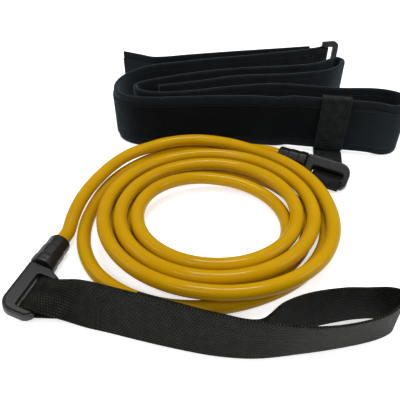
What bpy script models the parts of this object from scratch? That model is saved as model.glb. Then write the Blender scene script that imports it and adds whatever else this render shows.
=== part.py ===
"""A swim resistance belt: a waist belt and a hand strap joined by a coiled elastic tube.

Metres, +Z up. The belt stands on its edge at the back, the tube lies coiled in the middle
and the hand strap stands in front. The origin is on the floor, under the middle of the belt
and straps.
"""
import math

import bmesh
import bpy
from mathutils import Matrix, Vector

MM = 0.001

# Clearances
TOUCH = 0.3 * MM
RUNNING = 0.4 * MM
SOFT_GAP = 0.6 * MM

# Elastic tube
TUBE_OD = 10.0 * MM
TUBE_BORE = 5.6 * MM
TUBE_STEP = 22.0 * MM

# Coil of the tube: in along the floor in loops that get smaller, then out again on top of them
COIL_X = 9.5 * MM
COIL_Y = 257.5 * MM
COIL_OVAL = 1.06
COIL_INNER_OVAL = 1.11
COIL_RADIUS = 90.0 * MM
COIL_INNER_RADIUS = 46.5 * MM
COIL_TOP_RADIUS = 84.8 * MM
COIL_TURNS_IN = 3.0
COIL_TURNS_OUT = 3.12
COIL_START_DEG = 84.0
COIL_SHIFT_IN = 10.5 * MM
COIL_SHIFT_OUT = 5.0 * MM
# Loose stretches: how far out, at which turn, and over how many turns before and after it
LOOSE_STRETCHES = [
    (9.5 * MM, 0.38, 0.16, 0.22), (3.5 * MM, 1.0, 0.12, 0.12), (4.0 * MM, 5.66, 0.2, 0.15),
    (11.0 * MM, 6.07, 0.15, 0.5),
]
CLIMB_TURNS = 0.5
LAYER_GAP = 0.7 * MM
POINTS_PER_TURN = 24

# Route of each tube end between its socket and the coil, millimetres
FRONT_VIA = [
    (-93.8, 246, 11.5), (-91.0, 263, 13.6), (-85.0, 281, 15.0), (-77.0, 298, 15.7),
    (-69.3, 311.0, 15.7), (-63.0, 318.9, 15.7),
]
REAR_VIA = [(44.0, 341.3, 8.0)]
# Straight run of the tube on each side of the joint between the coil and a lead
JOIN_RUN = 3.0 * MM

# Connector: socket, swivel pin and ring
SOCKET_LENGTH = 25.0 * MM
SOCKET_SECTION = 9.0 * MM
SOCKET_WALL = 2.4 * MM
SOCKET_STEP = 0.5 * MM
SOCKET_EDGE = 0.8 * MM
SOCKET_SIDES = 20
BORE_DEPTH = 12.0 * MM
END_WALL = 4.0 * MM
FLARE = 1.0 * MM
FLARE_LENGTH = 2.0 * MM
PIN_DIAMETER = 5.0 * MM
PIN_HEAD_DIAMETER = 8.4 * MM
PIN_HEAD_LENGTH = 2.0 * MM
PIN_GRIP = 4.5 * MM
NECK_LENGTH = 6.0 * MM
NECK_TAPER = 3.6 * MM
NECK_INSET = 0.6 * MM
SLOT_LENGTH = 26.5 * MM
SLOT_WIDTH = 8.0 * MM
FAR_END = 4.5 * MM
FREE_BAR_WIDTH = 9.5 * MM
RING_SHIFT = 3.5 * MM
WRAPPED_BAR_DIAMETER = 5.0 * MM
BAR_SEAT = 2.0 * MM
RING_DEPTH = 8.0 * MM
RING_CORNER = 7.0 * MM
RING_FREE_CORNER = 9.0 * MM
RING_EDGE = 1.2 * MM
BAR_INSET = 0.5 * MM
CORNER_STEPS = 5
ROD_SIDES = 20

# Where each connector lies: the middle of the joint between socket and ring, and its heading
FRONT_JOINT = (-104.9 * MM, 199.0 * MM)
FRONT_HEADING_DEG = -106.5
FRONT_ROLL_DEG = 75.0
REAR_JOINT = (90.8 * MM, 314.4 * MM)
REAR_HEADING_DEG = -30.0
REAR_ROLL_DEG = -55.0

# Webbing
WEBBING_THICKNESS = 1.5 * MM
HAND_WEBBING_WIDTH = 37.0 * MM
SLIDER_WEBBING_WIDTH = 25.0 * MM
THREAD_THICKNESS = 0.6 * MM
TACK_WIDTH = 4.0 * MM
TACK_MARGIN = 2.0 * MM
ON_FLOOR = 0.1 * MM
SLIDER_LIFT = 2.5 * MM
SLIDER_LIFT_REACH = 22.0 * MM
SLIDER_LIFT_RAMP = 16.0 * MM
SLIDER_EDGE = 2.0 * MM
SLIDER_LEAD_IN = 9.5 * MM
SLIDER_TACK_HEIGHT = 9.0 * MM
STRAP_STEP = 4.0 * MM
STRAP_TACK_X = -62.0 * MM

# Waist belt
BELT_HEIGHT = 50.0 * MM
BELT_THICKNESS = 4.0 * MM
BELT_STEP = 12.0 * MM
FLAP_THICKNESS = 3.0 * MM
PATCH_THICKNESS = 1.0 * MM
PILE_HEIGHT = 37.0 * MM
HOOK_LENGTH = 70.0 * MM
TAB_WIDTH = 43.2 * MM
TAB_LENGTH = 24.0 * MM
TAB_SEWN = 17.0 * MM
TAB_TACK_START = 12.0 * MM
END_RING_BAR = 5.4 * MM
END_RING_DEPTH = 4.0 * MM
END_RING_EDGE = 0.8 * MM
END_RING_SLOT_WIDTH = 7.2 * MM
END_RING_SLOT_HEIGHT = 44.0 * MM
END_RING_CORNER = 6.0 * MM
END_RING_BAR_SEAT = 1.5 * MM

# Middle of the footprint in the plan that the routes below are written in
PLAN_MIDDLE = (31.29 * MM, 307.54 * MM)

# Sizes that follow from the ones above
TUBE_RADIUS = TUBE_OD / 2
COIL_RISE = TUBE_OD + LAYER_GAP
SOCKET_BORE_RADIUS = TUBE_RADIUS + TOUCH
CHAMBER_RADIUS = TUBE_RADIUS + FLARE + TOUCH
SOCKET_RADIUS = CHAMBER_RADIUS + SOCKET_WALL
RING_WIDTH = FREE_BAR_WIDTH + SLOT_WIDTH + WRAPPED_BAR_DIAMETER + BAR_INSET
RING_LENGTH = NECK_LENGTH + SLOT_LENGTH + FAR_END
RING_LOW = RING_SHIFT - RING_WIDTH / 2
RING_HIGH = RING_SHIFT + RING_WIDTH / 2
BAR_OFFSET = RING_HIGH - BAR_INSET - WRAPPED_BAR_DIAMETER / 2
SLOT_START = RUNNING + NECK_LENGTH
SLOT_MIDDLE = SLOT_START + SLOT_LENGTH / 2
WRAP_RADIUS = WRAPPED_BAR_DIAMETER / 2 + RUNNING + WEBBING_THICKNESS / 2
WRAP_REACH = WRAP_RADIUS + WEBBING_THICKNESS / 2

# Belt route in plan, millimetres: from the end beside the ring, round the spiral, to the inner end
BELT_ROUTE = [
    (118, 470.3), (80, 461), (50, 453.5), (15, 446), (-20, 437), (-50, 428), (-68, 413),
    (-77, 393), (-75, 374), (-62, 363), (-42, 360), (-15, 361.5), (15, 363), (45, 363.2),
    (78, 358.5), (105, 353.76), (132, 349.02), (146, 346.56), (160, 344.1), (175, 347), (182, 358),
    (177, 370), (160, 377), (128, 378), (98, 383.5), (70, 387.5), (45, 385), (18, 379.5),
    (-10, 372.5), (-38, 370), (-55, 375.5), (-59.5, 385.5), (-50, 394), (-15, 408), (15, 417),
    (45, 422.5), (85, 427), (115, 433), (130, 442), (140, 449), (145.5, 443.5),
    (141.5, 431.5), (124, 417.5),
    (86, 408.6), (55, 406.5), (28, 402.5), (4, 394.5), (-18, 388.5), (-38, 384.5),
]
FRONT_RUN_Y = 365.0 * MM
FRONT_RUN_END_X = 174.0 * MM
PILE_START = (-15, 437)
FLAP_ROUTE = [
    (118, 477.8), (70, 469.7), (30, 463), (-10, 455.5), (-46, 449), (-63, 456), (-80, 464),
]
END_RING_PLACE = (134.0 * MM, 477.0 * MM)
TAB_HEADING_DEG = 10.0

# Slider webbing crosses the belt here, on the straight stretch of its route
SLIDER_PLACE = (118.0 * MM, 351.47 * MM)
BELT_SLOPE = math.atan2(344.1 - 358.5, 160 - 78)

# Upper run of the slider webbing, millimetres: distance from the ring's bar and height
SLIDER_UPPER_RUN = [(7.3, 7.0), (14.6, 5.2)]
# Distances of its last two points from the belt's front face
SLIDER_UNDER_RUN = (14.0, 1.2)
SLIDER_RUN_OUT = 8.0 * MM

# Hand strap, millimetres: lower edge from the ring to the far fold and back, with the plan offset
# of its upper edge
STRAP_FRONT = [
    ((-35.4, 149.7), (0.5, 6.0)), ((-11.6, 143.8), (0.0, 4.0)), ((10.0, 139.6), (-0.3, 1.5)),
    ((32.0, 138.2), (-0.6, -1.0)), ((57.6, 141.2), (-1.5, -7.0)), ((81.5, 145.1), (-3.5, -9.0)),
]
STRAP_FOLD = [
    ((103.5, 150.4), (-4.0, -8.0)), ((114.5, 156.0), (-4.0, -5.0)), ((116.0, 161.5), (-4.0, -4.5)),
    ((110.0, 165.0), (-4.0, -5.5)), ((96.0, 164.8), (-3.0, -5.5)), ((82.7, 162.5), (-2.0, -3.5)),
    ((62.0, 157.5), (-1.0, -2.0)), ((46.0, 151.5), (-0.5, -2.5)),
]
# Where the strap lies over towards the ring: lower edge and upper edge
STRAP_LYING = [
    ((-80, 160.8, 2.9), (-76.0, 180.0, 20.0)), ((-68, 157.6, 1.8), (-62.5, 169.5, 30.0)),
    ((-54, 154.6, 1.0), (-50.0, 162.5, 34.2)),
]
STRAP_UNDER = [((-64, 159.8, 0.8), (-60.0, 179.5, 10.0)), ((-80, 163.9, 0.8), (-77.0, 186.0, 6.5))]
# Where it goes round the bar, and up to where its back run goes back behind the front one
STRAP_WRAP_DEG = (-75, -285)
STRAP_WRAP_STEPS = 8
STRAP_WRAP_OVAL = 2.5
STRAP_BACK_END_X = 35
STRAP_BACK_WAY = (0.15, 1.0, 0.0)


def remove_everything():
    for obj in list(bpy.data.objects):
        bpy.data.objects.remove(obj, do_unlink=True)


def make_collection(name):
    found = bpy.data.collections.get(name) or bpy.data.collections.new(name)
    if found.name not in bpy.context.scene.collection.children:
        bpy.context.scene.collection.children.link(found)
    return found


def make_material(name, colour, roughness):
    material = bpy.data.materials.get(name) or bpy.data.materials.new(name)
    material.use_nodes = True
    shader = material.node_tree.nodes["Principled BSDF"]
    shader.inputs["Base Color"].default_value = (*colour, 1.0)
    shader.inputs["Roughness"].default_value = roughness
    shader.inputs["Metallic"].default_value = 0.0
    return material


remove_everything()
PARTS = make_collection("swim_resistance_belt")
CUTTERS = make_collection("cutters")
LATEX = make_material("yellow_latex", (0.80, 0.42, 0.01), 0.22)
PLASTIC = make_material("black_plastic", (0.02, 0.02, 0.02), 0.35)
WEBBING = make_material("black_webbing", (0.015, 0.015, 0.015), 0.85)
NEOPRENE = make_material("black_belt_fabric", (0.012, 0.012, 0.014), 0.9)
PILE = make_material("black_pile", (0.02, 0.02, 0.022), 0.95)
THREAD = make_material("black_thread", (0.03, 0.03, 0.03), 0.7)


# Frames

def make_empty(name, matrix, parent=None):
    empty = bpy.data.objects.new(name, None)
    empty.empty_display_size = 0.01
    PARTS.objects.link(empty)
    empty.parent = parent
    empty.matrix_basis = matrix
    return empty


def heading_matrix(place, heading_deg, roll_deg):
    """A frame whose Z runs level along the heading. X points down, turned by the roll."""
    turn = Matrix.Rotation(math.radians(heading_deg), 4, "Z")
    level = Matrix.Rotation(math.radians(90), 4, "Y")
    roll = Matrix.Rotation(math.radians(roll_deg), 4, "Z")
    return Matrix.Translation((*place, resting_height(roll_deg))) @ turn @ level @ roll


# Objects

def finish_mesh(name, mesh, material, parent):
    mesh.name = name
    mesh.materials.append(material)
    obj = bpy.data.objects.new(name, mesh)
    PARTS.objects.link(obj)
    obj.parent = parent
    mesh.shade_smooth()
    mesh.set_sharp_from_angle(angle=math.radians(35))
    return obj


def mesh_from(bm, name):
    mesh = bpy.data.meshes.new(name)
    bm.to_mesh(mesh)
    bm.free()
    return mesh


def turned(name, profile, material, parent, steps=24):
    """A closed profile of (radius, height) turned about Z. It runs down its outer side first."""
    bm = bmesh.new()
    corners = [bm.verts.new((radius, 0.0, height)) for radius, height in profile]
    closed = profile[0][0] > 0 and profile[-1][0] > 0
    pairs = list(zip(corners, corners[1:]))
    if closed:
        pairs.append((corners[-1], corners[0]))
    for first, second in pairs:
        bm.edges.new((first, second))
    obj = finish_mesh(name, mesh_from(bm, name), material, parent)
    screw = obj.modifiers.new("turn", "SCREW")
    screw.steps = steps
    screw.render_steps = steps
    screw.use_merge_vertices = True
    screw.merge_threshold = 1e-6
    screw.use_normal_calculate = False
    return obj


def curve_points(points, step, closed=False):
    """Points about one step apart on a smooth curve through the route's own points."""
    route = [Vector(point) for point in points]
    found = []
    count = len(route)
    last = count if closed else count - 1
    for index in range(last):
        if closed:
            before, start, end, after = (route[(index + shift) % count] for shift in (-1, 0, 1, 2))
        else:
            start, end = route[index], route[index + 1]
            before = route[index - 1] if index > 0 else start * 2 - end
            after = route[index + 2] if index + 2 < count else end * 2 - start
        cuts = max(1, round((end - start).length / step))
        for cut in range(cuts):
            found.append(hermite(before, start, end, after, cut / cuts))
    if not closed:
        found.append(route[-1])
    return found


def hermite(before, start, end, after, part):
    """One point of the smooth curve between start and end, with its slopes from their neighbours."""
    span = (end - start).length
    leave = (end - before) * (span / max(1e-9, (start - before).length + span))
    reach = (after - start) * (span / max(1e-9, (after - end).length + span))
    square, cube = part * part, part * part * part
    return (start * (2 * cube - 3 * square + 1) + leave * (cube - 2 * square + part)
            + end * (3 * square - 2 * cube) + reach * (cube - square))


def tube(name, points, diameter, bevel_resolution, material, parent):
    curve = bpy.data.curves.new(name, "CURVE")
    curve.dimensions = "3D"
    curve.bevel_depth = diameter / 2
    curve.bevel_resolution = bevel_resolution
    curve.use_fill_caps = True
    curve.materials.append(material)
    spline = curve.splines.new("POLY")
    spline.points.add(len(points) - 1)
    for point, place in zip(spline.points, points):
        point.co = (*place, 1.0)
    spline.use_smooth = True
    obj = bpy.data.objects.new(name, curve)
    PARTS.objects.link(obj)
    obj.parent = parent
    return obj


def ribbon(name, lower, upper, thickness, material, parent, offset=0.0):
    """A strip between two edge lines, thickened. An offset of 0 keeps the lines in its middle."""
    bm = bmesh.new()
    low = [bm.verts.new(point) for point in lower]
    high = [bm.verts.new(point) for point in upper]
    for index in range(len(low) - 1):
        bm.faces.new((low[index], low[index + 1], high[index + 1], high[index]))
    obj = finish_mesh(name, mesh_from(bm, name), material, parent)
    solid = obj.modifiers.new("thickness", "SOLIDIFY")
    solid.thickness = thickness
    solid.offset = offset
    solid.use_even_offset = True
    return obj


def plan_normals(points):
    """At each point of a plan route, the unit direction to its left."""
    normals = []
    for index, point in enumerate(points):
        before = points[max(0, index - 1)]
        after = points[min(len(points) - 1, index + 1)]
        run = (after - before).to_2d().normalized()
        normals.append(Vector((-run.y, run.x, 0.0)))
    return normals


def beside(points, distance):
    """The route moved to its left by a distance."""
    return [point + side * distance for point, side in zip(points, plan_normals(points))]


def standing(points, bottom, top):
    """The lower and upper edges of a strip that stands on its edge along a plan route."""
    lower = [Vector((p.x, p.y, bottom)) for p in points]
    upper = [Vector((p.x, p.y, top)) for p in points]
    return lower, upper


def plan(route):
    return [Vector((x * MM, y * MM, 0.0)) for x, y in route]


def arc(centre, radius, start_deg, end_deg, steps):
    """Points (x, y) of an arc, both ends counted."""
    points = []
    for index in range(steps + 1):
        angle = math.radians(start_deg + (end_deg - start_deg) * index / steps)
        points.append((centre[0] + radius * math.cos(angle), centre[1] + radius * math.sin(angle)))
    return points


def plate(name, outline, depth, material, parent):
    """A flat outline in X and Y, as thick as depth, half on each side of its plane."""
    curve = bpy.data.curves.new(name + "_outline", "CURVE")
    curve.dimensions = "2D"
    curve.fill_mode = "BOTH"
    curve.extrude = depth / 2
    spline = curve.splines.new("POLY")
    spline.points.add(len(outline) - 1)
    for point, (x, y) in zip(spline.points, outline):
        point.co = (x, y, 0.0, 1.0)
    spline.use_cyclic_u = True
    drawing = bpy.data.objects.new(name + "_outline", curve)
    PARTS.objects.link(drawing)
    graph = bpy.context.evaluated_depsgraph_get()
    mesh = bpy.data.meshes.new_from_object(drawing.evaluated_get(graph))
    bpy.data.objects.remove(drawing, do_unlink=True)
    bm = bmesh.new()
    bm.from_mesh(mesh)
    bmesh.ops.remove_doubles(bm, verts=bm.verts, dist=1e-6)
    bm.to_mesh(mesh)
    bm.free()
    mesh.materials.clear()
    return finish_mesh(name, mesh, material, parent)


def cutter_mesh(name, bm, parent):
    obj = bpy.data.objects.new(name, mesh_from(bm, name))
    CUTTERS.objects.link(obj)
    obj.parent = parent
    obj.hide_render = True
    obj.display_type = "WIRE"
    return obj


def box_cutter(name, low, high, parent):
    bm = bmesh.new()
    bmesh.ops.create_cube(bm, size=1.0)
    low, high = Vector(low), Vector(high)
    for vert in bm.verts:
        vert.co = [low[i] + (high[i] - low[i]) * (vert.co[i] + 0.5) for i in range(3)]
    return cutter_mesh(name, bm, parent)


def rod_cutter(name, radius, start, end, parent):
    """A rod along Z, between two heights, at a place given by the start point."""
    bm = bmesh.new()
    length = end - start[2]
    place = Matrix.Translation((start[0], start[1], start[2] + length / 2))
    bmesh.ops.create_cone(bm, cap_ends=True, segments=ROD_SIDES, radius1=radius, radius2=radius,
                          depth=length, matrix=place)
    return cutter_mesh(name, bm, parent)


def chamfer(obj, width):
    """Cut the edges of a plate, but not the steps of its rounded corners."""
    modifier = obj.modifiers.new("edges", "BEVEL")
    modifier.width = width
    modifier.segments = 1
    modifier.limit_method = "ANGLE"
    modifier.angle_limit = math.radians(50)


def stand_on(obj, axis_empty):
    """Give a strip the frame of its own joint's empty. It stays where it is."""
    obj.data.transform(axis_empty.matrix_basis.inverted())
    obj.parent = axis_empty


def boolean(obj, other, operation):
    modifier = obj.modifiers.new(other.name, "BOOLEAN")
    modifier.operation = operation
    modifier.solver = "EXACT"
    modifier.object = other


# Tube

def smooth_step(part):
    part = min(1.0, max(0.0, part))
    return part * part * (3 - 2 * part)


def coil_point(turn):
    """Where the tube's middle is after so many turns: in along the floor, then out on top."""
    if turn > COIL_TURNS_IN:
        share = (turn - COIL_TURNS_IN) / COIL_TURNS_OUT
        radius = COIL_INNER_RADIUS + (COIL_TOP_RADIUS - COIL_INNER_RADIUS) * share
        middle_y = COIL_Y - COIL_SHIFT_IN + COIL_SHIFT_OUT * share
        oval = COIL_INNER_OVAL + (COIL_OVAL - COIL_INNER_OVAL) * share
    else:
        share = turn / COIL_TURNS_IN
        radius = COIL_RADIUS + (COIL_INNER_RADIUS - COIL_RADIUS) * share
        middle_y = COIL_Y - COIL_SHIFT_IN * share
        oval = COIL_OVAL + (COIL_INNER_OVAL - COIL_OVAL) * share
    for extra, peak, before, after in LOOSE_STRETCHES:
        reach = before if turn < peak else after
        radius += extra * smooth_step(1 - abs(turn - peak) / reach)
    angle = math.radians(COIL_START_DEG) + 2 * math.pi * turn
    rise = COIL_RISE * smooth_step((turn - COIL_TURNS_IN) / CLIMB_TURNS + 0.5)
    return Vector((COIL_X + radius * oval * math.cos(angle), middle_y + radius * math.sin(angle),
                   TUBE_RADIUS + rise))


def coil_centreline():
    turns = COIL_TURNS_IN + COIL_TURNS_OUT
    count = round(turns * POINTS_PER_TURN)
    step = turns / count
    points = [coil_point(step * index) for index in range(count + 1)]
    first = (coil_point(-step) - points[1]).normalized()
    last = (coil_point(turns + step) - points[-2]).normalized()
    return [points[0] + first * JOIN_RUN] + points + [points[-1] + last * JOIN_RUN]


def least_gap(points, diameter):
    """Least gap between stretches of one tube that are over a few diameters apart along it."""
    along = [0.0]
    for before, after in zip(points, points[1:]):
        along.append(along[-1] + (after - before).length)
    least = 1.0
    for first in range(len(points)):
        for second in range(first + 1, len(points) - 1):
            if along[second] - along[first] < 4 * diameter:
                continue
            start, end = points[second], points[second + 1]
            run = end - start
            part = min(1.0, max(0.0, (points[first] - start).dot(run) / run.length_squared))
            least = min(least, (points[first] - start - run * part).length - diameter)
    return least


def frame_point(frame, x, y, z):
    return frame @ Vector((x, y, z))


def lead_points(socket_frame, via, coil_end, coil_run):
    """From inside the socket, through the route's own points, to the coil's end."""
    mouth = -SOCKET_LENGTH
    out = [frame_point(socket_frame, 0, 0, mouth + BORE_DEPTH), frame_point(socket_frame, 0, 0, mouth),
           frame_point(socket_frame, 0, 0, mouth - TUBE_OD)]
    last = coil_end + coil_run * TOUCH
    return out + [Vector(p) * MM for p in via] + [last + coil_run * JOIN_RUN, last]


def make_lead(name, socket_frame, via, end, before_end, parent):
    route = lead_points(socket_frame, via, end, (end - before_end).normalized())
    tube(name, curve_points(route, TUBE_STEP), TUBE_OD, 2, LATEX, parent)


# Connectors

def connector(side, frame, parent):
    """The socket, the tube's flared end, its plug, the swivel pin and the ring."""
    at = make_empty(side + "_connector_at", frame, parent)
    swivel = make_empty(side + "_swivel_at", Matrix.Identity(4), at)
    make_socket(side, at)
    make_tube_end(side, at)
    make_pin(side, swivel)
    make_ring(side, swivel)


def make_socket(side, at):
    mouth = -SOCKET_LENGTH
    first_step = mouth + SOCKET_SECTION
    second_step = mouth + 2 * SOCKET_SECTION
    hole = PIN_DIAMETER / 2 + TOUCH
    profile = [
        (SOCKET_RADIUS - SOCKET_EDGE, 0.0),
        (SOCKET_RADIUS, -SOCKET_EDGE),
        (SOCKET_RADIUS, second_step + SOCKET_STEP),
        (SOCKET_RADIUS - SOCKET_STEP, second_step),
        (SOCKET_RADIUS - SOCKET_STEP, first_step + SOCKET_STEP),
        (SOCKET_RADIUS - 2 * SOCKET_STEP, first_step),
        (SOCKET_RADIUS - 2 * SOCKET_STEP, mouth + SOCKET_EDGE),
        (SOCKET_RADIUS - 2 * SOCKET_STEP - SOCKET_EDGE / 2, mouth),
        (SOCKET_BORE_RADIUS, mouth),
        (SOCKET_BORE_RADIUS, mouth + BORE_DEPTH),
        (CHAMBER_RADIUS, mouth + BORE_DEPTH),
        (CHAMBER_RADIUS, -END_WALL),
        (hole, -END_WALL),
        (hole, 0.0),
    ]
    turned(side + "_socket", profile, PLASTIC, at, SOCKET_SIDES)


def make_tube_end(side, at):
    start = -SOCKET_LENGTH + BORE_DEPTH + TOUCH
    end = -END_WALL - TOUCH - PIN_HEAD_LENGTH - TOUCH
    bend = start + FLARE_LENGTH
    bore = TUBE_BORE / 2
    profile = [
        (TUBE_RADIUS + FLARE, end), (TUBE_RADIUS + FLARE, bend), (TUBE_RADIUS, start),
        (bore, start), (bore + FLARE, bend), (bore + FLARE, end),
    ]
    turned(side + "_tube_end", profile, LATEX, at, ROD_SIDES)
    inside = bore - TOUCH
    plug = [
        (0.0, end), (inside + FLARE, end), (inside + FLARE, bend), (inside, start), (0.0, start),
    ]
    turned(side + "_tube_plug", plug, PLASTIC, at, ROD_SIDES)


def make_pin(side, at):
    shank = PIN_DIAMETER / 2
    head = PIN_HEAD_DIAMETER / 2
    head_top = -END_WALL - TOUCH
    profile = [
        (0.0, RUNNING + PIN_GRIP - TOUCH), (shank, RUNNING + PIN_GRIP - TOUCH), (shank, head_top),
        (head, head_top), (head, head_top - PIN_HEAD_LENGTH), (0.0, head_top - PIN_HEAD_LENGTH),
    ]
    turned(side + "_swivel_pin", profile, PLASTIC, at, ROD_SIDES)


def ring_outline():
    """Rounded far end, straight bars and a neck that flares on the wrapped bar's side."""
    start = RUNNING
    end = RUNNING + RING_LENGTH
    neck = SOCKET_RADIUS - NECK_INSET
    shoulder = start + NECK_TAPER
    corner = end - RING_CORNER
    points = [(-neck, start), (neck, start), (RING_HIGH, shoulder)]
    points += arc((RING_HIGH - RING_CORNER, corner), RING_CORNER, 0, 90, CORNER_STEPS)
    free_corner = (RING_LOW + RING_FREE_CORNER, end - RING_FREE_CORNER)
    points += arc(free_corner, RING_FREE_CORNER, 90, 180, CORNER_STEPS)
    points.append((RING_LOW, shoulder))
    return points


def resting_height(roll_deg):
    """The axis height at which the socket, the ring and the wrapped webbing are just off the floor."""
    down = math.cos(math.radians(roll_deg))
    across = abs(math.sin(math.radians(roll_deg)))
    ring_edge = RING_HIGH * down + RING_DEPTH / 2 * across
    return ON_FLOOR + max(SOCKET_RADIUS, ring_edge, BAR_OFFSET * down + WRAP_REACH)


def make_ring(side, at):
    """The eye's plate lies in the frame's XZ plane; the wrapped bar is at +X."""
    lying = make_empty(side + "_ring_plane", Matrix.Rotation(math.radians(90), 4, "X"), at)
    ring = plate(side + "_ring", ring_outline(), RING_DEPTH, PLASTIC, lying)
    chamfer(ring, RING_EDGE)
    slot = box_cutter(side + "_slot_cutter", (RING_LOW + FREE_BAR_WIDTH, SLOT_START, -RING_DEPTH),
                      (RING_WIDTH, SLOT_START + SLOT_LENGTH, RING_DEPTH), lying)
    boolean(ring, slot, "DIFFERENCE")
    bar = rod_cutter(side + "_wrapped_bar_form", WRAPPED_BAR_DIAMETER / 2,
                     (BAR_OFFSET, 0.0, SLOT_START - BAR_SEAT), SLOT_START + SLOT_LENGTH + BAR_SEAT, at)
    boolean(ring, bar, "UNION")
    hole = rod_cutter(side + "_pin_hole_cutter", PIN_DIAMETER / 2 + TOUCH / 2,
                      (0.0, 0.0, -RUNNING), RUNNING + PIN_GRIP, at)
    boolean(ring, hole, "DIFFERENCE")


# Belt

def lift_on_slider(x):
    """How far the belt's lower edge is lifted where it lies over the slider webbing."""
    reach = SLIDER_WEBBING_WIDTH / 2 + SLIDER_LIFT_REACH
    beyond = abs(x - SLIDER_PLACE[0]) - reach
    return SLIDER_LIFT * (1 - smooth_step(beyond / SLIDER_LIFT_RAMP))


def make_belt(at):
    middle = curve_points(plan(BELT_ROUTE), BELT_STEP)
    lower, upper = standing(middle, 0.0, BELT_HEIGHT)
    for low, high in zip(lower, upper):
        if low.y < FRONT_RUN_Y:
            low.z += lift_on_slider(low.x)
            high.z += lift_on_slider(high.x)
    ribbon("waist_belt", lower, upper, BELT_THICKNESS, NEOPRENE, at)
    make_pile(middle, lower, upper, at)
    make_flap(at)


def make_pile(middle, lower, upper, at):
    """Loop pile on the outer face, from the left of the back run to the end of the front run."""
    side = BELT_THICKNESS / 2 + TOUCH + PATCH_THICKNESS / 2
    outer = beside(middle, -side)
    start = min(range(len(middle)), key=lambda i: (middle[i] - plan([PILE_START])[0]).length)
    end = next(i for i in range(start, len(middle)) if middle[i].x > FRONT_RUN_END_X)
    margin = (BELT_HEIGHT - PILE_HEIGHT) / 2
    low = []
    high = []
    for index in range(start, end + 1):
        point = outer[index]
        low.append(Vector((point.x, point.y, lower[index].z + margin)))
        high.append(Vector((point.x, point.y, upper[index].z - margin)))
    ribbon("pile_strip", low, high, PATCH_THICKNESS, PILE, at)


def make_flap(at):
    """The folded end: it lies behind the back run and stands off at the left."""
    middle = curve_points(plan(FLAP_ROUTE), BELT_STEP)
    lower, upper = standing(middle, 0.0, BELT_HEIGHT)
    ribbon("belt_flap", lower, upper, FLAP_THICKNESS, NEOPRENE, at)
    side = FLAP_THICKNESS / 2 + TOUCH + PATCH_THICKNESS / 2
    inner = beside(middle, side)
    near_end = [p for p in inner if (p - inner[-1]).length < HOOK_LENGTH]
    margin = (BELT_HEIGHT - PILE_HEIGHT) / 2
    low, high = standing(near_end, margin, BELT_HEIGHT - margin)
    ribbon("hook_patch", low, high, PATCH_THICKNESS, PILE, at)


def make_end_ring(belt_at):
    """Upright plastic loop held by a webbing tab that is sewn between the belt and its flap."""
    turned_to_tab = Matrix.Rotation(math.radians(TAB_HEADING_DEG), 4, "Z")
    matrix = Matrix.Translation((*END_RING_PLACE, 0.0)) @ turned_to_tab
    at = make_empty("end_ring_at", matrix, belt_at)
    flat = make_empty("end_ring_plane", Matrix.Rotation(math.radians(90), 4, "X"), at)
    height = END_RING_SLOT_HEIGHT + 2 * END_RING_BAR
    inner_bar = END_RING_BAR / 2
    left, right = -inner_bar, inner_bar + END_RING_SLOT_WIDTH + END_RING_BAR
    corner = END_RING_CORNER
    outline = arc((right - corner, corner), corner, -90, 0, CORNER_STEPS)
    outline += arc((right - corner, height - corner), corner, 0, 90, CORNER_STEPS)
    outline += [(left, height), (left, 0.0)]
    ring = plate("belt_end_ring", outline, END_RING_DEPTH, PLASTIC, flat)
    chamfer(ring, END_RING_EDGE)
    slot_top = END_RING_BAR + END_RING_SLOT_HEIGHT
    window = box_cutter("end_ring_window", (-2 * END_RING_BAR, END_RING_BAR, -END_RING_BAR),
                        (END_RING_SLOT_WIDTH + inner_bar, slot_top, END_RING_BAR), flat)
    boolean(ring, window, "DIFFERENCE")
    bar = rod_cutter("end_ring_bar_form", inner_bar, (0.0, 0.0, END_RING_BAR - END_RING_BAR_SEAT),
                     slot_top + END_RING_BAR_SEAT, at)
    boolean(ring, bar, "UNION")
    make_tab(belt_at, at.matrix_basis)


def make_tab(belt_at, matrix):
    """Webbing folded round the ring's bar, with both legs between the belt and its flap."""
    bottom = END_RING_BAR + RUNNING
    radius = END_RING_BAR / 2 + RUNNING + WEBBING_THICKNESS / 2
    pinch = WEBBING_THICKNESS / 2 + TOUCH / 2
    legs_from = -TAB_LENGTH - radius
    legs_to = legs_from + TAB_SEWN
    turn = arc((0.0, 0.0), radius, 110, -110, 8)
    outline = [(legs_from, pinch), (legs_to, pinch)] + turn + [(legs_to, -pinch), (legs_from, -pinch)]
    route = [matrix @ Vector((x, y, 0.0)) for x, y in outline]
    low, high = standing(route, bottom, bottom + TAB_WIDTH)
    ribbon("end_ring_tab", low, high, WEBBING_THICKNESS, WEBBING, belt_at)
    tack_y = -pinch - WEBBING_THICKNESS / 2 - TOUCH - THREAD_THICKNESS / 2
    tack_from = legs_from + TAB_TACK_START
    stitches = [matrix @ Vector((x, tack_y, 0.0)) for x in (tack_from, tack_from + TACK_WIDTH)]
    low, high = standing(stitches, bottom + TACK_MARGIN, bottom + TAB_WIDTH - TACK_MARGIN)
    ribbon("end_ring_tab_tack", low, high, THREAD_THICKNESS, THREAD, belt_at)


# Slider webbing

def slider_section():
    """Distances towards the ring and heights of the webbing's middle, once round the belt."""
    half = WEBBING_THICKNESS / 2
    floor = ON_FLOOR + half
    front = BELT_THICKNESS / 2 + TOUCH + PATCH_THICKNESS + SOFT_GAP + half
    back = -BELT_THICKNESS / 2 - SOFT_GAP - half
    top = BELT_HEIGHT + SLIDER_LIFT + SOFT_GAP + half
    edge = SLIDER_EDGE
    section = [(front, floor + 2 * WEBBING_THICKNESS + 2 * TOUCH)]
    section += arc((front - edge, top - edge), edge, 0, 90, 2)
    section += arc((back + edge, top - edge), edge, 90, 180, 2)
    section += arc((back + edge, floor + edge), edge, 180, 270, 2)
    section.append((front + SLIDER_RUN_OUT, floor))
    return section, front, floor


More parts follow.
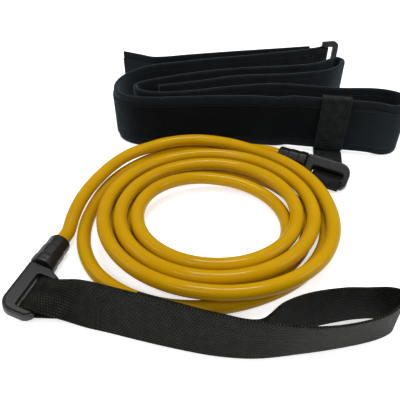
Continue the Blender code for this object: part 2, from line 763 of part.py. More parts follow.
def make_slider(at, rear_frame):
    """Webbing that goes round the belt's front run and round the rear ring's wrapped bar."""
    along_belt = Vector((math.cos(BELT_SLOPE), math.sin(BELT_SLOPE), 0.0))
    to_ring = Vector((math.sin(BELT_SLOPE), -math.cos(BELT_SLOPE), 0.0))
    up = Vector((0.0, 0.0, 1.0))
    place = Vector((*SLIDER_PLACE, 0.0))
    section, front, floor = slider_section()
    at_belt = [place + to_ring * out + up * height for out, height in section]
    bar = frame_point(rear_frame, BAR_OFFSET, 0.0, SLOT_MIDDLE)
    bar_along = (rear_frame.to_3x3() @ up).normalized()
    away = bar_along.cross(up)
    wrap = [bar - away * SLIDER_LEAD_IN - up * WRAP_RADIUS]
    wrap += [bar + away * x + up * z for x, z in arc((0.0, 0.0), WRAP_RADIUS, -90, 90, 8)]
    wrap += [bar.xy.to_3d() - away * (x * MM) + up * (z * MM) for x, z in SLIDER_UPPER_RUN]
    over = floor + WEBBING_THICKNESS + TOUCH
    under_belt = [place + to_ring * (front + x * MM) + up * over for x in SLIDER_UNDER_RUN]
    middle = at_belt + wrap + under_belt
    across = [along_belt] * len(at_belt) + [bar_along] * len(wrap) + [along_belt] * len(under_belt)
    half_width = SLIDER_WEBBING_WIDTH / 2
    lower = [point - run * half_width for point, run in zip(middle, across)]
    upper = [point + run * half_width for point, run in zip(middle, across)]
    stand_on(ribbon("slider_webbing", lower, upper, WEBBING_THICKNESS, WEBBING, at), at)
    outer = front + WEBBING_THICKNESS / 2 + TOUCH + THREAD_THICKNESS / 2
    start = place + to_ring * outer + up * SLIDER_TACK_HEIGHT
    reach = along_belt * (half_width - TACK_MARGIN)
    low = [start - reach, start + reach]
    high = [point + up * TACK_WIDTH for point in low]
    stand_on(ribbon("slider_bar_tack", low, high, THREAD_THICKNESS, THREAD, at), at)


# Hand strap

def upper_edge(lower, lean):
    """The upper edge: the webbing's width away from the lower edge, leaning by a plan offset."""
    up = math.sqrt(HAND_WEBBING_WIDTH ** 2 - lean[0] ** 2 - lean[1] ** 2)
    return Vector((lower.x + lean[0], lower.y + lean[1], lower.z + up))


def strap_runs():
    """Lower and upper edges: the front run, the far fold and the back run behind the front one."""
    on_floor = WEBBING_THICKNESS / 2
    behind = Vector(STRAP_BACK_WAY).normalized() * (WEBBING_THICKNESS + SOFT_GAP)
    lower = [Vector(low) * MM for low, high in STRAP_LYING]
    upper = [Vector(high) * MM for low, high in STRAP_LYING]
    back = []
    for (x, y), (lean_x, lean_y) in STRAP_FRONT:
        low = Vector((x * MM, y * MM, on_floor))
        high = upper_edge(low, (lean_x * MM, lean_y * MM))
        lower.append(low)
        upper.append(high)
        if x < STRAP_BACK_END_X:
            back.append((low + behind, high + behind))
    for (x, y), (lean_x, lean_y) in STRAP_FOLD:
        lower.append(Vector((x * MM, y * MM, on_floor)))
        upper.append(upper_edge(lower[-1], (lean_x * MM, lean_y * MM)))
    for low, high in reversed(back):
        lower.append(low)
        upper.append(high)
    return lower, upper


def strap_edges(frame):
    """Both edges of the strap: round the front ring's bar, out to the far fold and back."""
    bar_low = frame_point(frame, BAR_OFFSET, 0.0, SLOT_START + SLOT_LENGTH - SOFT_GAP)
    bar_high = frame_point(frame, BAR_OFFSET, 0.0, SLOT_START + SOFT_GAP)
    along = (bar_high - bar_low).normalized()
    out = along.cross(Vector((0, 0, 1))).normalized()
    up = out.cross(along).normalized()
    lower = [Vector(low) * MM for low, high in STRAP_UNDER]
    upper = [Vector(high) * MM for low, high in STRAP_UNDER]
    for x, z in arc((0.0, 0.0), WRAP_RADIUS, *STRAP_WRAP_DEG, STRAP_WRAP_STEPS):
        around = out * min(x, x * STRAP_WRAP_OVAL) + up * z
        lower.append(bar_low + around)
        upper.append(bar_high + around)
    run_lower, run_upper = strap_runs()
    return smooth_strip(lower + run_lower, upper + run_upper, STRAP_STEP)


def make_hand_strap(at, frame):
    lower, upper = strap_edges(frame)
    stand_on(ribbon("hand_strap", lower, upper, WEBBING_THICKNESS, WEBBING, at), at)
    end = next(i for i in range(1, len(lower)) if lower[i - 1].x < STRAP_TACK_X <= lower[i].x)
    outward = (lower[end] - upper[end - 1]).cross(upper[end] - lower[end - 1]).normalized()
    outward *= WEBBING_THICKNESS / 2 + SOFT_GAP + THREAD_THICKNESS / 2
    low = []
    high = []
    for bottom, top in zip(lower[end - 1:end + 1], upper[end - 1:end + 1]):
        rise = (top - bottom).normalized()
        low.append(bottom + rise * TACK_MARGIN + outward)
        high.append(top - rise * TACK_MARGIN + outward)
    stand_on(ribbon("hand_strap_tack", low, high, THREAD_THICKNESS, THREAD, at), at)


def smooth_strip(lower, upper, step):
    """Both edges of a strip, refined together by the spacing of the lower edge."""
    fine_lower = []
    fine_upper = []
    count = len(lower)
    for index in range(count - 1):
        cuts = max(1, round((lower[index + 1] - lower[index]).length / step))
        for line, fine in ((lower, fine_lower), (upper, fine_upper)):
            start, end = line[index], line[index + 1]
            before = line[index - 1] if index > 0 else start * 2 - end
            after = line[index + 2] if index + 2 < count else end * 2 - start
            fine.extend(hermite(before, start, end, after, cut / cuts) for cut in range(cuts))
    return fine_lower + [lower[-1]], fine_upper + [upper[-1]]


def build():
    root = make_empty("object_origin", Matrix.Translation((-PLAN_MIDDLE[0], -PLAN_MIDDLE[1], 0.0)))
    front_frame = heading_matrix(FRONT_JOINT, FRONT_HEADING_DEG, FRONT_ROLL_DEG)
    rear_frame = heading_matrix(REAR_JOINT, REAR_HEADING_DEG, REAR_ROLL_DEG)
    connector("front", front_frame, root)
    connector("rear", rear_frame, root)
    coil = coil_centreline()
    tube("tube_coil", coil, TUBE_OD, 1, LATEX, root)
    make_lead("front_lead", front_frame, FRONT_VIA, coil[-1], coil[-2], root)
    make_lead("rear_lead", rear_frame, REAR_VIA, coil[0], coil[1], root)
    print("least gap of the coil to itself, mm:", round(least_gap(coil, TUBE_OD) / MM, 2))
    belt_at = make_empty("belt_at", Matrix.Identity(4), root)
    make_belt(belt_at)
    make_end_ring(belt_at)
    on_bar = Matrix.Translation((BAR_OFFSET, 0.0, SLOT_MIDDLE))
    make_slider(make_empty("slider_at", rear_frame @ on_bar, root), rear_frame)
    make_hand_strap(make_empty("hand_strap_at", front_frame @ on_bar, root), front_frame)


build()
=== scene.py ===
"""The looks of a swim resistance belt: elastic tube, belt, straps and swivel connectors.

Metres, in the frame of the solids. Routes are written in millimetres of the same plan as the
solids' own, and everything built from them is moved by PLAN_MIDDLE at the end.
"""

import math

import bmesh
import bpy
from mathutils import Matrix, Vector, noise


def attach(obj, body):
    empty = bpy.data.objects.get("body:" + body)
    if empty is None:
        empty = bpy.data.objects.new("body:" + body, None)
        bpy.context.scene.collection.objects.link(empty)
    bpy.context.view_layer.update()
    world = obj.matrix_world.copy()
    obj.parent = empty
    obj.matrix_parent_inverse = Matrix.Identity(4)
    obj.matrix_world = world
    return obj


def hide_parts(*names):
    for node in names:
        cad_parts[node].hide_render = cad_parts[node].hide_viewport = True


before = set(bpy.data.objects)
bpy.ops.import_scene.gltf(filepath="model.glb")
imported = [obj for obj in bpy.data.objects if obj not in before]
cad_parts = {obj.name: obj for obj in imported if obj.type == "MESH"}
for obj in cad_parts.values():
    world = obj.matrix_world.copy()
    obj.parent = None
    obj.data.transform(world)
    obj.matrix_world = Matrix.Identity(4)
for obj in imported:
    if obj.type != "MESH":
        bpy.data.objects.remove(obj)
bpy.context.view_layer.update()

MM = 0.001
PLAN_MIDDLE = Vector((31.29, 307.54, 0.0)) * MM
TO_WORLD = Matrix.Translation(-PLAN_MIDDLE)

# Camera and light
SENSOR = 36.0
LENS = 40.44
CAMERA_HEIGHT = 0.23426
CAMERA_TILT_DEG = 50
# Name, place, target, size, power
LAMPS = [
    ("overhead", (0.05, 0.15, 1.1), (0.0, 0.0, 0.0), (0.45, 0.28), 6.2),
    ("strip_front", (-0.35, -0.75, 0.85), (0.0, 0.0, 0.0), (0.5, 0.12), 2.2),
    ("side_right", (0.55, -0.2, 0.38), (0.13, 0.06, 0.02), (0.3, 0.3), 0.9),
    ("side_left", (-0.55, -0.1, 0.38), (-0.1, 0.07, 0.02), (0.3, 0.3), 0.6),
]
WHITE = (1.0, 1.0, 1.0)
WORLD_STRENGTH = 0.4
FLOOR_GREY = (0.86, 0.86, 0.86)
FLOOR_LIFT = 0.6
COOL_SHEEN = (0.62, 0.85, 1.0)

# Clearances
TOUCH = 0.3 * MM
RUNNING = 0.4 * MM
SOFT_GAP = 0.6 * MM

# Elastic tube
TUBE_OD = 10.0 * MM
TUBE_STEP = 3.0 * MM
COIL_X = 9.5 * MM
# Radius, middle y and oval where the coil starts outside, turns back inside and ends on top
COIL_OUTSIDE = (90.0 * MM, 257.5 * MM, 1.06)
COIL_INSIDE = (46.5 * MM, 247.0 * MM, 1.11)
COIL_ON_TOP = (84.8 * MM, 252.0 * MM, 1.06)
COIL_TURNS_IN = 3.0
COIL_TURNS_OUT = 3.12
COIL_START_DEG = 84.0
# Loose stretches: how far out, at which turn, and over how many turns before and after it
LOOSE_STRETCHES = [
    (9.5 * MM, 0.38, 0.16, 0.22), (3.5 * MM, 1.0, 0.12, 0.12), (4.0 * MM, 5.66, 0.2, 0.15),
    (11.0 * MM, 6.07, 0.15, 0.5),
]
CLIMB_TURNS = 0.5
COIL_RISE = TUBE_OD + 0.7 * MM
POINTS_PER_TURN = 24
FRONT_VIA = [
    (-93.8, 246, 11.5), (-91.0, 263, 13.6), (-85.0, 281, 15.0), (-77.0, 298, 15.7),
    (-69.3, 311.0, 15.7), (-63.0, 318.9, 15.7),
]
REAR_VIA = [(44.0, 341.3, 8.0)]
JOIN_RUN = 3.0 * MM

# Connectors
SOCKET_LENGTH = 25.0 * MM
SOCKET_SECTION = 9.0 * MM
SOCKET_STEP = 0.5 * MM
SOCKET_LIP = 0.35 * MM
SOCKET_RADIUS = 8.7 * MM
SOCKET_BORE_RADIUS = TUBE_OD / 2 + TOUCH
BORE_DEPTH = 12.0 * MM
SOCKET_FACETS = 8
SOCKET_POINTS = 64
SOCKET_BEVEL = 0.12 * MM
# Ledge over the pin's seat: low and high corners of its pad and two lugs, mm
BOSS_BLOCKS = [
    ((-2.6, 0.0, -3.6), (2.6, 0.85, -1.5)), ((-2.4, 0.0, -6.2), (-0.6, 0.75, -4.6)),
    ((0.6, 0.0, -6.2), (2.4, 0.75, -4.6)),
]
BOSS_SINK = 0.5 * MM
BOSS_INSET = 0.25
PIN_RADIUS = 2.5 * MM
PIN_HOLE_DEPTH = 4.5 * MM
NECK_LENGTH = 6.0 * MM
NECK_TAPER = 3.6 * MM
NECK_INSET = 0.6 * MM
SLOT_LENGTH = 26.5 * MM
SLOT_WIDTH = 8.0 * MM
SLOT_CORNER = 2.2 * MM
LEAD_IN = 0.8 * MM
LEAD_IN_CORNER = 3.0 * MM
LEAD_IN_DEPTH = 1.2 * MM
FAR_END = 4.5 * MM
FREE_BAR_WIDTH = 9.5 * MM
RING_SHIFT = 3.5 * MM
WRAPPED_BAR_DIAMETER = 5.0 * MM
BAR_SEAT = 2.0 * MM
RING_DEPTH = 8.0 * MM
RING_CORNER = 7.0 * MM
RING_FREE_CORNER = 9.0 * MM
RING_RIM = 1.5 * MM
RING_RIM_DEPTH = 5.4 * MM
BAR_INSET = 0.5 * MM
RING_WIDTH = FREE_BAR_WIDTH + SLOT_WIDTH + WRAPPED_BAR_DIAMETER + BAR_INSET
RING_LENGTH = NECK_LENGTH + SLOT_LENGTH + FAR_END
RING_LOW = RING_SHIFT - RING_WIDTH / 2
RING_HIGH = RING_SHIFT + RING_WIDTH / 2
BAR_OFFSET = RING_HIGH - BAR_INSET - WRAPPED_BAR_DIAMETER / 2
SLOT_START = RUNNING + NECK_LENGTH
SLOT_END = SLOT_START + SLOT_LENGTH
SLOT_MIDDLE = SLOT_START + SLOT_LENGTH / 2
MOULD_VOXEL = 0.3 * MM
MOULD_ROUNDS = 5
FRONT_JOINT = (-104.9 * MM, 199.0 * MM)
FRONT_HEADING_DEG = -106.5
FRONT_ROLL_DEG = 75.0
REAR_JOINT = (90.8 * MM, 314.4 * MM)
REAR_HEADING_DEG = -30.0
REAR_ROLL_DEG = -55.0

# Webbing
WEBBING_THICKNESS = 1.5 * MM
WRAP_RADIUS = WRAPPED_BAR_DIAMETER / 2 + RUNNING + WEBBING_THICKNESS / 2
WRAP_REACH = WRAP_RADIUS + WEBBING_THICKNESS / 2
HAND_WEBBING_WIDTH = 37.0 * MM
SLIDER_WEBBING_WIDTH = 25.0 * MM
ON_FLOOR = 0.1 * MM
SLIDER_LIFT = 2.5 * MM
SLIDER_LIFT_REACH = 22.0 * MM
SLIDER_LIFT_RAMP = 16.0 * MM
SLIDER_EDGE = 2.0 * MM
SLIDER_LEAD_IN = 9.5 * MM
SLIDER_TACK_HEIGHT = 9.0 * MM
STRAP_STEP = 1.5 * MM
STRAP_TACK_X = -64.0 * MM

# Stitches
THREAD_DIAMETER = 0.4 * MM
THREAD_SIDES = 6
THREAD_ARCH = 0.7
# Share of a stitch's length, and how fat it is there
THREAD_PROFILE = ((0.0, 0.25), (0.12, 0.8), (0.5, 1.0), (0.88, 0.8), (1.0, 0.25))
TACK_WIDTH = 4.0 * MM
TACK_MARGIN = 2.0 * MM
TACK_ROW = 0.4 * TACK_WIDTH
TACK_PITCH = 0.55 * TACK_WIDTH
SLIDER_TACK_PITCH = 0.6 * TACK_WIDTH
TACK_PROUD = 0.1 * MM
TACK_STITCHES = 24
TAB_TACK_STITCHES = 34
# Pitch, length of a stitch, and how deep it lies in the face
CLOTH_SEAM = (3.2 * MM, 2.3 * MM, 0.28 * MM)
PILE_SEAM = (3.0 * MM, 2.2 * MM, 0.3 * MM)

# Waist belt
BELT_HEIGHT = 50.0 * MM
BELT_THICKNESS = 4.0 * MM
FINE_STEP = 2.0 * MM
FLAP_THICKNESS = 3.0 * MM
PATCH_THICKNESS = 1.0 * MM
PILE_HEIGHT = 37.0 * MM
PILE_MARGIN = (BELT_HEIGHT - PILE_HEIGHT) / 2
SEAM_HEIGHTS = (PILE_MARGIN, BELT_HEIGHT - PILE_MARGIN)
PILE_SEAM_HEIGHTS = (1.6 * MM, PILE_HEIGHT - 1.6 * MM)
HOOK_LENGTH = 70.0 * MM
TAB_WIDTH = 43.2 * MM
TAB_LENGTH = 24.0 * MM
TAB_SEWN = 17.0 * MM
TAB_TACK_START = 12.0 * MM
TAB_STEP = 1.0 * MM
TAB_TURN_DEG = 110
END_RING_BAR = 5.4 * MM
END_RING_DEPTH = 4.0 * MM
END_RING_SLOT_WIDTH = 7.2 * MM
END_RING_SLOT_HEIGHT = 44.0 * MM
END_RING_CORNER = 6.0 * MM
END_RING_BAR_CORNER = 1.5 * MM
END_RING_BAR_SEAT = 1.5 * MM
BELT_ROUTE = [
    (118, 470.3), (80, 461), (50, 453.5), (15, 446), (-20, 437), (-50, 428), (-68, 413),
    (-77, 393), (-75, 374), (-62, 363), (-42, 360), (-15, 361.5), (15, 363), (45, 363.2),
    (78, 358.5), (105, 353.76), (132, 349.02), (146, 346.56), (160, 344.1), (175, 347), (182, 358),
    (177, 370), (160, 377), (128, 378), (98, 383.5), (70, 387.5), (45, 385), (18, 379.5),
    (-10, 372.5), (-38, 370), (-55, 375.5), (-59.5, 385.5), (-50, 394), (-15, 408), (15, 417),
    (45, 422.5), (85, 427), (115, 433), (130, 442), (140, 449), (145.5, 443.5),
    (141.5, 431.5), (124, 417.5),
    (86, 408.6), (55, 406.5), (28, 402.5), (4, 394.5), (-18, 388.5), (-38, 384.5),
]
FRONT_RUN_Y = 365.0 * MM
FRONT_RUN_END_X = 174.0 * MM
PILE_START = (-15, 437)
FLAP_ROUTE = [
    (118, 477.8), (70, 469.7), (30, 463), (-10, 455.5), (-46, 449), (-63, 456), (-80, 464),
]
END_RING_PLACE = (134.0 * MM, 477.0 * MM)
TAB_HEADING_DEG = 10.0
SLIDER_PLACE = (118.0 * MM, 351.47 * MM)
BELT_SLOPE = math.atan2(344.1 - 358.5, 160 - 78)
SLIDER_UPPER_RUN = [(7.3, 7.0), (14.6, 5.2)]
SLIDER_UNDER_RUN = (14.0, 1.2)
SLIDER_RUN_OUT = 8.0 * MM
SLIDER_STEP = 1.0 * MM

# Hand strap: lower edge and how far the upper one leans, or both edges
STRAP_FRONT = [
    ((-35.4, 149.7), (0.5, 6.0)), ((-11.6, 143.8), (0.0, 4.0)), ((10.0, 139.6), (-0.3, 1.5)),
    ((32.0, 138.2), (-0.6, -1.0)), ((57.6, 141.2), (-1.5, -7.0)), ((81.5, 145.1), (-3.5, -9.0)),
]
STRAP_FOLD = [
    ((103.5, 150.4), (-4.0, -8.0)), ((114.5, 156.0), (-4.0, -5.0)), ((116.0, 161.5), (-4.0, -4.5)),
    ((110.0, 165.0), (-4.0, -5.5)), ((96.0, 164.8), (-3.0, -5.5)), ((82.7, 162.5), (-2.0, -3.5)),
    ((62.0, 157.5), (-1.0, -2.0)), ((46.0, 151.5), (-0.5, -2.5)),
]
STRAP_LYING = [
    ((-80, 160.8, 2.9), (-76.0, 180.0, 20.0)), ((-68, 157.6, 1.8), (-62.5, 169.5, 30.0)),
    ((-54, 154.6, 1.0), (-50.0, 162.5, 34.2)),
]
STRAP_UNDER = [((-64, 159.8, 0.8), (-60.0, 179.5, 10.0)), ((-80, 163.9, 0.8), (-77.0, 186.0, 6.5))]
STRAP_WRAP_DEG = (-75, -285)
STRAP_WRAP_STEPS = 12
STRAP_WRAP_OVAL = 2.6
STRAP_BACK_END_X = 35
STRAP_BACK_WAY = (0.15, 1.0, 0.0)
STRAP_BACK_DROP = Vector((0.0, 0.0, 1.5)) * MM

UP = Vector((0.0, 0.0, 1.0))


def configure(thing, **settings):
    for key, value in settings.items():
        setattr(thing, key, value)
    return thing


# Materials

class Tree:
    """The nodes of a world or a material. An input takes a constant or another node's output."""

    def __init__(self, owner):
        owner.use_nodes = True
        self.owner = owner
        self.nodes = owner.node_tree.nodes
        self.links = owner.node_tree.links

    def feed(self, node, values):
        for key, value in values.items():
            socket = node.inputs[key]
            if isinstance(value, bpy.types.NodeSocket):
                self.links.new(value, socket)
            else:
                socket.default_value = (*value, 1.0) if socket.type == "RGBA" else value
        return node

    def add(self, kind, values, **settings):
        return self.feed(configure(self.nodes.new("ShaderNode" + kind), **settings), values)

    def calc(self, operation, *values):
        return self.add("Math", dict(enumerate(values)), operation=operation).outputs[0]

    def plus(self, first, second):
        return self.calc("ADD", first, second)

    def times(self, first, second):
        return self.calc("MULTIPLY", first, second)

    def scaled(self, value, factor, offset):
        return self.calc("MULTIPLY_ADD", value, factor, offset)

    def wave(self, value, rate):
        return self.calc("SINE", self.times(value, rate))

    def humps(self, value, rate):
        return self.calc("ABSOLUTE", self.wave(value, rate))

    def rays(self, *kinds):
        """1 for rays of any of two kinds, 0 for the others."""
        path = self.add("LightPath", {})
        return self.calc("MAXIMUM", *(path.outputs[kind] for kind in kinds))

    def noise(self, vector, scale, detail=3.0, roughness=0.5):
        values = {"Vector": vector, "Scale": scale, "Detail": detail, "Roughness": roughness}
        return self.add("TexNoise", values).outputs["Fac"]

    def ramp(self, value, low, high):
        """Clamp and stretch a value between two limits to 0 ... 1."""
        values = {"Value": value, "From Min": low, "From Max": high}
        return self.add("MapRange", values).outputs["Result"]

    def mix(self, share, *colours):
        node = self.add("Mix", {"Factor": share}, data_type="RGBA")
        places = [k for k, socket in enumerate(node.inputs) if socket.type == "RGBA"]
        self.feed(node, dict(zip(places, colours)))
        return next(socket for socket in node.outputs if socket.type == "RGBA")

    def bump(self, height, distance, strength, below=None):
        values = {"Height": height, "Distance": distance, "Strength": strength}
        if below is not None:
            values["Normal"] = below
        return self.add("Bump", values).outputs["Normal"]

    def place(self):
        return self.add("TexCoord", {}).outputs["Object"]

    def strip_place(self):
        """The map of a strip, its millimetres along and its millimetres up from the lower edge."""
        uv = self.add("UVMap", {}, uv_map="strip").outputs["UV"]
        split = self.add("SeparateXYZ", {0: uv})
        return uv, split.outputs[0], split.outputs[1]

    def stretched(self, vector, along, across):
        values = {"Vector": vector, "Scale": (along, across, 1.0)}
        return self.add("Mapping", values).outputs["Vector"]


class Look(Tree):
    """A material put together node by node round its shader."""

    def __init__(self, name, roughness, specular, more=None):
        super().__init__(bpy.data.materials.new(name))
        self.shader = self.nodes["Principled BSDF"]
        self.feed(self.shader, {"Roughness": roughness, "Specular IOR Level": specular})
        self.feed(self.shader, more or {})

    def paint(self, values):
        self.feed(self.shader, values)
        return self.owner


def sheen(weight, roughness, tint=WHITE):
    return {"Sheen Weight": weight, "Sheen Roughness": roughness, "Sheen Tint": tint}


def latex_material():
    look = Look("yellow_latex", 0.3, 0.02, {"Coat Weight": 0.2, "Coat Roughness": 0.05})
    place = look.place()
    speck = look.noise(place, 900.0, 2.0)
    tone = look.ramp(look.noise(place, 22.0, 4.0), 0.32, 0.7)
    base = look.mix(tone, (0.475, 0.250, 0.0), (0.55, 0.302, 0.0003))
    dust = look.times(look.ramp(speck, 0.68, 0.82), 0.05)
    waves = look.bump(look.noise(place, 70.0, 2.0), 0.0006, 0.2)
    return look.paint({
        "Base Color": look.mix(dust, base, (0.70, 0.50, 0.06)),
        "Roughness": look.scaled(look.noise(place, 140.0), 0.14, 0.20),
        "Normal": look.bump(speck, 0.00005, 0.2, waves),
    })


def plastic_material():
    """Moulded black plastic with a fine grain and scuffed, slightly lighter patches."""
    look = Look("black_plastic", 0.42, 0.26)
    place = look.place()
    patches = look.ramp(look.noise(place, 160.0, 5.0, 0.65), 0.45, 0.75)
    grain = look.bump(look.noise(place, 2600.0, 2.0), 0.00006, 0.5)
    return look.paint({
        "Base Color": look.mix(patches, (0.006, 0.0062, 0.006), (0.014, 0.0142, 0.0135)),
        "Roughness": look.scaled(patches, 0.14, 0.36),
        "Normal": look.bump(look.noise(place, 420.0, 6.0, 0.7), 0.0001, 0.25, grain),
    })


def webbing_material(name, cell_width, dark, light, fuzz):
    """Coarse plain weave: rows of rounded yarn crossings, each row half a cell further along."""
    look = Look(name, 0.55, 0.08, sheen(fuzz, 0.45))
    vector, along, across = look.strip_place()
    wander = look.scaled(look.noise(vector, 0.35, 2.0), 0.5, -0.25)
    row_place = look.plus(look.calc("DIVIDE", across, cell_width), wander)
    half = look.times(look.calc("MODULO", look.calc("FLOOR", row_place), 2.0), 0.5)
    cell_place = look.plus(look.calc("DIVIDE", along, 1.8), half)
    crest = look.times(look.calc("POWER", look.humps(cell_place, math.pi), 0.7),
                       look.calc("POWER", look.humps(row_place, math.pi), 0.6))
    fibres = look.noise(look.stretched(vector, 1.2, 14.0), 1.0, 2.0)
    shine = look.times(look.calc("POWER", crest, 2.2), look.scaled(fibres, 0.9, 0.35))
    shine = look.times(shine, look.ramp(look.noise(vector, 0.16), 0.2, 0.75))
    height = look.plus(crest, look.times(fibres, 0.18))
    return look.paint({
        "Base Color": look.mix(shine, dark, light),
        "Roughness": look.scaled(crest, -0.16, 0.66),
        "Normal": look.bump(height, 0.00045, 0.85),
    })


def knit_material():
    """Stretch cloth over foam: a fine knit, faint creases and lint."""
    look = Look("black_belt_cloth", 0.85, 0.08, sheen(0.26, 0.4, COOL_SHEEN))
    vector, along, across = look.strip_place()
    loops = look.times(look.wave(along, 2 * math.pi / 0.7), look.wave(across, 2 * math.pi / 0.9))
    clouds = look.ramp(look.noise(vector, 0.09, 5.0, 0.6), 0.3, 0.75)
    tone = look.plus(look.times(clouds, 0.55), look.times(look.scaled(loops, 0.5, 0.5), 0.3))
    base = look.mix(tone, (0.0042, 0.0052, 0.0062), (0.0125, 0.0150, 0.0172))
    lint = look.times(look.ramp(look.noise(vector, 1.1, 1.0), 0.80, 0.84), 0.5)
    creases = look.bump(look.noise(vector, 0.12), 0.0014, 0.35)
    knit = look.bump(loops, 0.00012, 0.6, creases)
    return look.paint({
        "Base Color": look.mix(lint, base, (0.05, 0.05, 0.052)),
        "Normal": look.bump(look.noise(vector, 2.4, 3.0, 0.6), 0.0002, 0.4, knit),
    })


def pile_material():
    """Loop pile: a matted, very dark nap, brushed in rows, with painted light: lighter and cooler
    at both ends of the tape, where the belt curves round.
    """
    look = Look("black_pile", 0.95, 0.05, sheen(0.20, 0.35, COOL_SHEEN))
    vector, along, across = look.strip_place()
    nap = look.noise(look.stretched(vector, 1.3, 2.6), 1.0, 5.0, 0.7)
    rows = look.scaled(look.wave(across, 2 * math.pi / 1.6), 0.5, 0.5)
    brushed = look.ramp(look.noise(vector, 0.05, 4.0, 0.6), 0.3, 0.7)
    tone = look.times(look.ramp(nap, 0.3, 0.75), look.scaled(brushed, 0.6, 0.4))
    base = look.mix(tone, (0.0022, 0.0024, 0.0027), (0.0085, 0.0092, 0.0098))
    # Painted light: both ends of the tape are made lighter and cooler, standing in for sheen and
    # side light where the belt curves away.
    painted_end_light = look.calc("MAXIMUM", look.calc("SUBTRACT", 1.0, look.ramp(along, 70.0, 130.0)),
                       look.ramp(along, 300.0, 345.0))
    painted_end_light = look.times(painted_end_light, look.scaled(nap, 0.6, 0.4))
    return look.paint({
        "Base Color": look.mix(painted_end_light, base, (0.017, 0.0225, 0.026)),
        "Normal": look.bump(look.plus(nap, look.times(rows, 0.2)), 0.0007, 0.9),
    })


def hook_material():
    """Hook tape: rows of small stiff hooks."""
    look = Look("black_hooks", 0.75, 0.08, sheen(0.24, 0.4, COOL_SHEEN))
    vector, along, across = look.strip_place()
    hooks = look.times(look.humps(across, math.pi / 1.5), look.humps(along, math.pi / 1.1))
    ragged = look.times(hooks, look.plus(look.noise(vector, 1.6, 2.0), 0.4))
    return look.paint({
        "Base Color": look.mix(ragged, (0.003, 0.0036, 0.0042), (0.012, 0.0138, 0.0155)),
        "Normal": look.bump(ragged, 0.0004, 0.8),
    })


def rim_foam_and_highlight_material():
    """The belt's rim: cut foam and the rolled edge of its cloth, greyer than the faces, partly
    their own grey and partly a painted highlight for the top edge that faces the light.
    """
    look = Look("belt_rim", 0.7, 0.2, sheen(0.25, 0.4))
    place = look.place()
    tone = look.ramp(look.noise(place, 90.0, 4.0), 0.3, 0.7)
    # Painted highlight: the rim's grey is partly the foam's own and partly stands in for light on
    # the upward top edge.
    return look.paint({
        "Base Color": look.mix(tone, (0.020, 0.0225, 0.0245), (0.038, 0.042, 0.046)),
        "Normal": look.bump(look.noise(place, 1500.0, 3.0, 0.6), 0.0002, 0.6),
    })


def thread_material(name, dark, light):
    look = Look(name, 0.6, 0.15, sheen(0.1, 0.5))
    plies = look.noise(look.place(), 1800.0)
    return look.paint({
        "Base Color": look.mix(plies, dark, light),
        "Normal": look.bump(plies, 0.0001, 0.8),
    })


# Curves and frames

def smooth_step(part):
    part = min(1.0, max(0.0, part))
    return part * part * (3 - 2 * part)


def hermite(before, start, end, after, part):
    span = (end - start).length
    leave = (end - before) * (span / max(1e-9, (start - before).length + span))
    reach = (after - start) * (span / max(1e-9, (after - end).length + span))
    square, cube = part * part, part * part * part
    return (start * (2 * cube - 3 * square + 1) + leave * (cube - 2 * square + part)
            + end * (3 * square - 2 * cube) + reach * (cube - square))


def smooth_lines(step, *lines):
    """Smooth curves through lines that run side by side, all cut like the first."""
    curves = [[] for line in lines]
    for index in range(len(lines[0]) - 1):
        cuts = max(1, round((lines[0][index + 1] - lines[0][index]).length / step))
        for line, curve in zip(lines, curves):
            start, end = line[index], line[index + 1]
            before = line[index - 1] if index > 0 else start * 2 - end
            after = line[index + 2] if index + 2 < len(line) else end * 2 - start
            curve.extend(hermite(before, start, end, after, cut / cuts) for cut in range(cuts))
    return [curve + [line[-1]] for line, curve in zip(lines, curves)]


def plan(route):
    return [Vector((x * MM, y * MM, 0.0)) for x, y in route]


def arc(centre, radius, start_deg, end_deg, steps):
    points = []
    for index in range(steps + 1):
        angle = math.radians(start_deg + (end_deg - start_deg) * index / steps)
        points.append((centre[0] + radius * math.cos(angle), centre[1] + radius * math.sin(angle)))
    return points


def beside(points, distance):
    moved = []
    for index, point in enumerate(points):
        before = points[max(0, index - 1)]
        after = points[min(len(points) - 1, index + 1)]
        run = (after - before).to_2d().normalized()
        moved.append(point + Vector((-run.y, run.x, 0.0)) * distance)
    return moved


def sideways(points):
    return [after - before for before, after in zip(points, beside(points, 1.0))]


def standing(points, bottom, top):
    return [[Vector((p.x, p.y, height)) for p in points] for height in (bottom, top)]


def line_at(lower, upper, height):
    """Points a given height above the lower edge of a strip."""
    return [low + (high - low).normalized() * height for low, high in zip(lower, upper)]


def resting_height(roll_deg):
    down = math.cos(math.radians(roll_deg))
    across = abs(math.sin(math.radians(roll_deg)))
    ring_edge = RING_HIGH * down + RING_DEPTH / 2 * across
    return ON_FLOOR + max(SOCKET_RADIUS, ring_edge, BAR_OFFSET * down + WRAP_REACH)


def rotation(angle_deg, axis):
    return Matrix.Rotation(math.radians(angle_deg), 4, axis)


def heading_matrix(place, heading_deg, roll_deg):
    """The frame of a connector: Z along its axis, from the socket to the ring."""
    turned = rotation(heading_deg, "Z") @ rotation(90, "Y") @ rotation(roll_deg, "Z")
    return Matrix.Translation((*place, resting_height(roll_deg))) @ turned


# Objects

def new_object(name, data):
    obj = bpy.data.objects.new(name, data)
    bpy.context.collection.objects.link(obj)
    return obj


def dress(mesh, *materials):
    mesh.materials.clear()
    for material in materials:
        mesh.materials.append(material)


def object_from(name, bm, *materials):
    bmesh.ops.recalc_face_normals(bm, faces=bm.faces)
    mesh = bpy.data.meshes.new(name)
    bm.to_mesh(mesh)
    bm.free()
    dress(mesh, *materials)
    return new_object(name, mesh)


def settle(obj, body, slot, *nodes):
    """Move a piece from the plan to the solids' frame, and tie it to its body."""
    obj.data.transform(TO_WORLD)
    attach(obj, body)
    if nodes:
        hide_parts(*nodes)


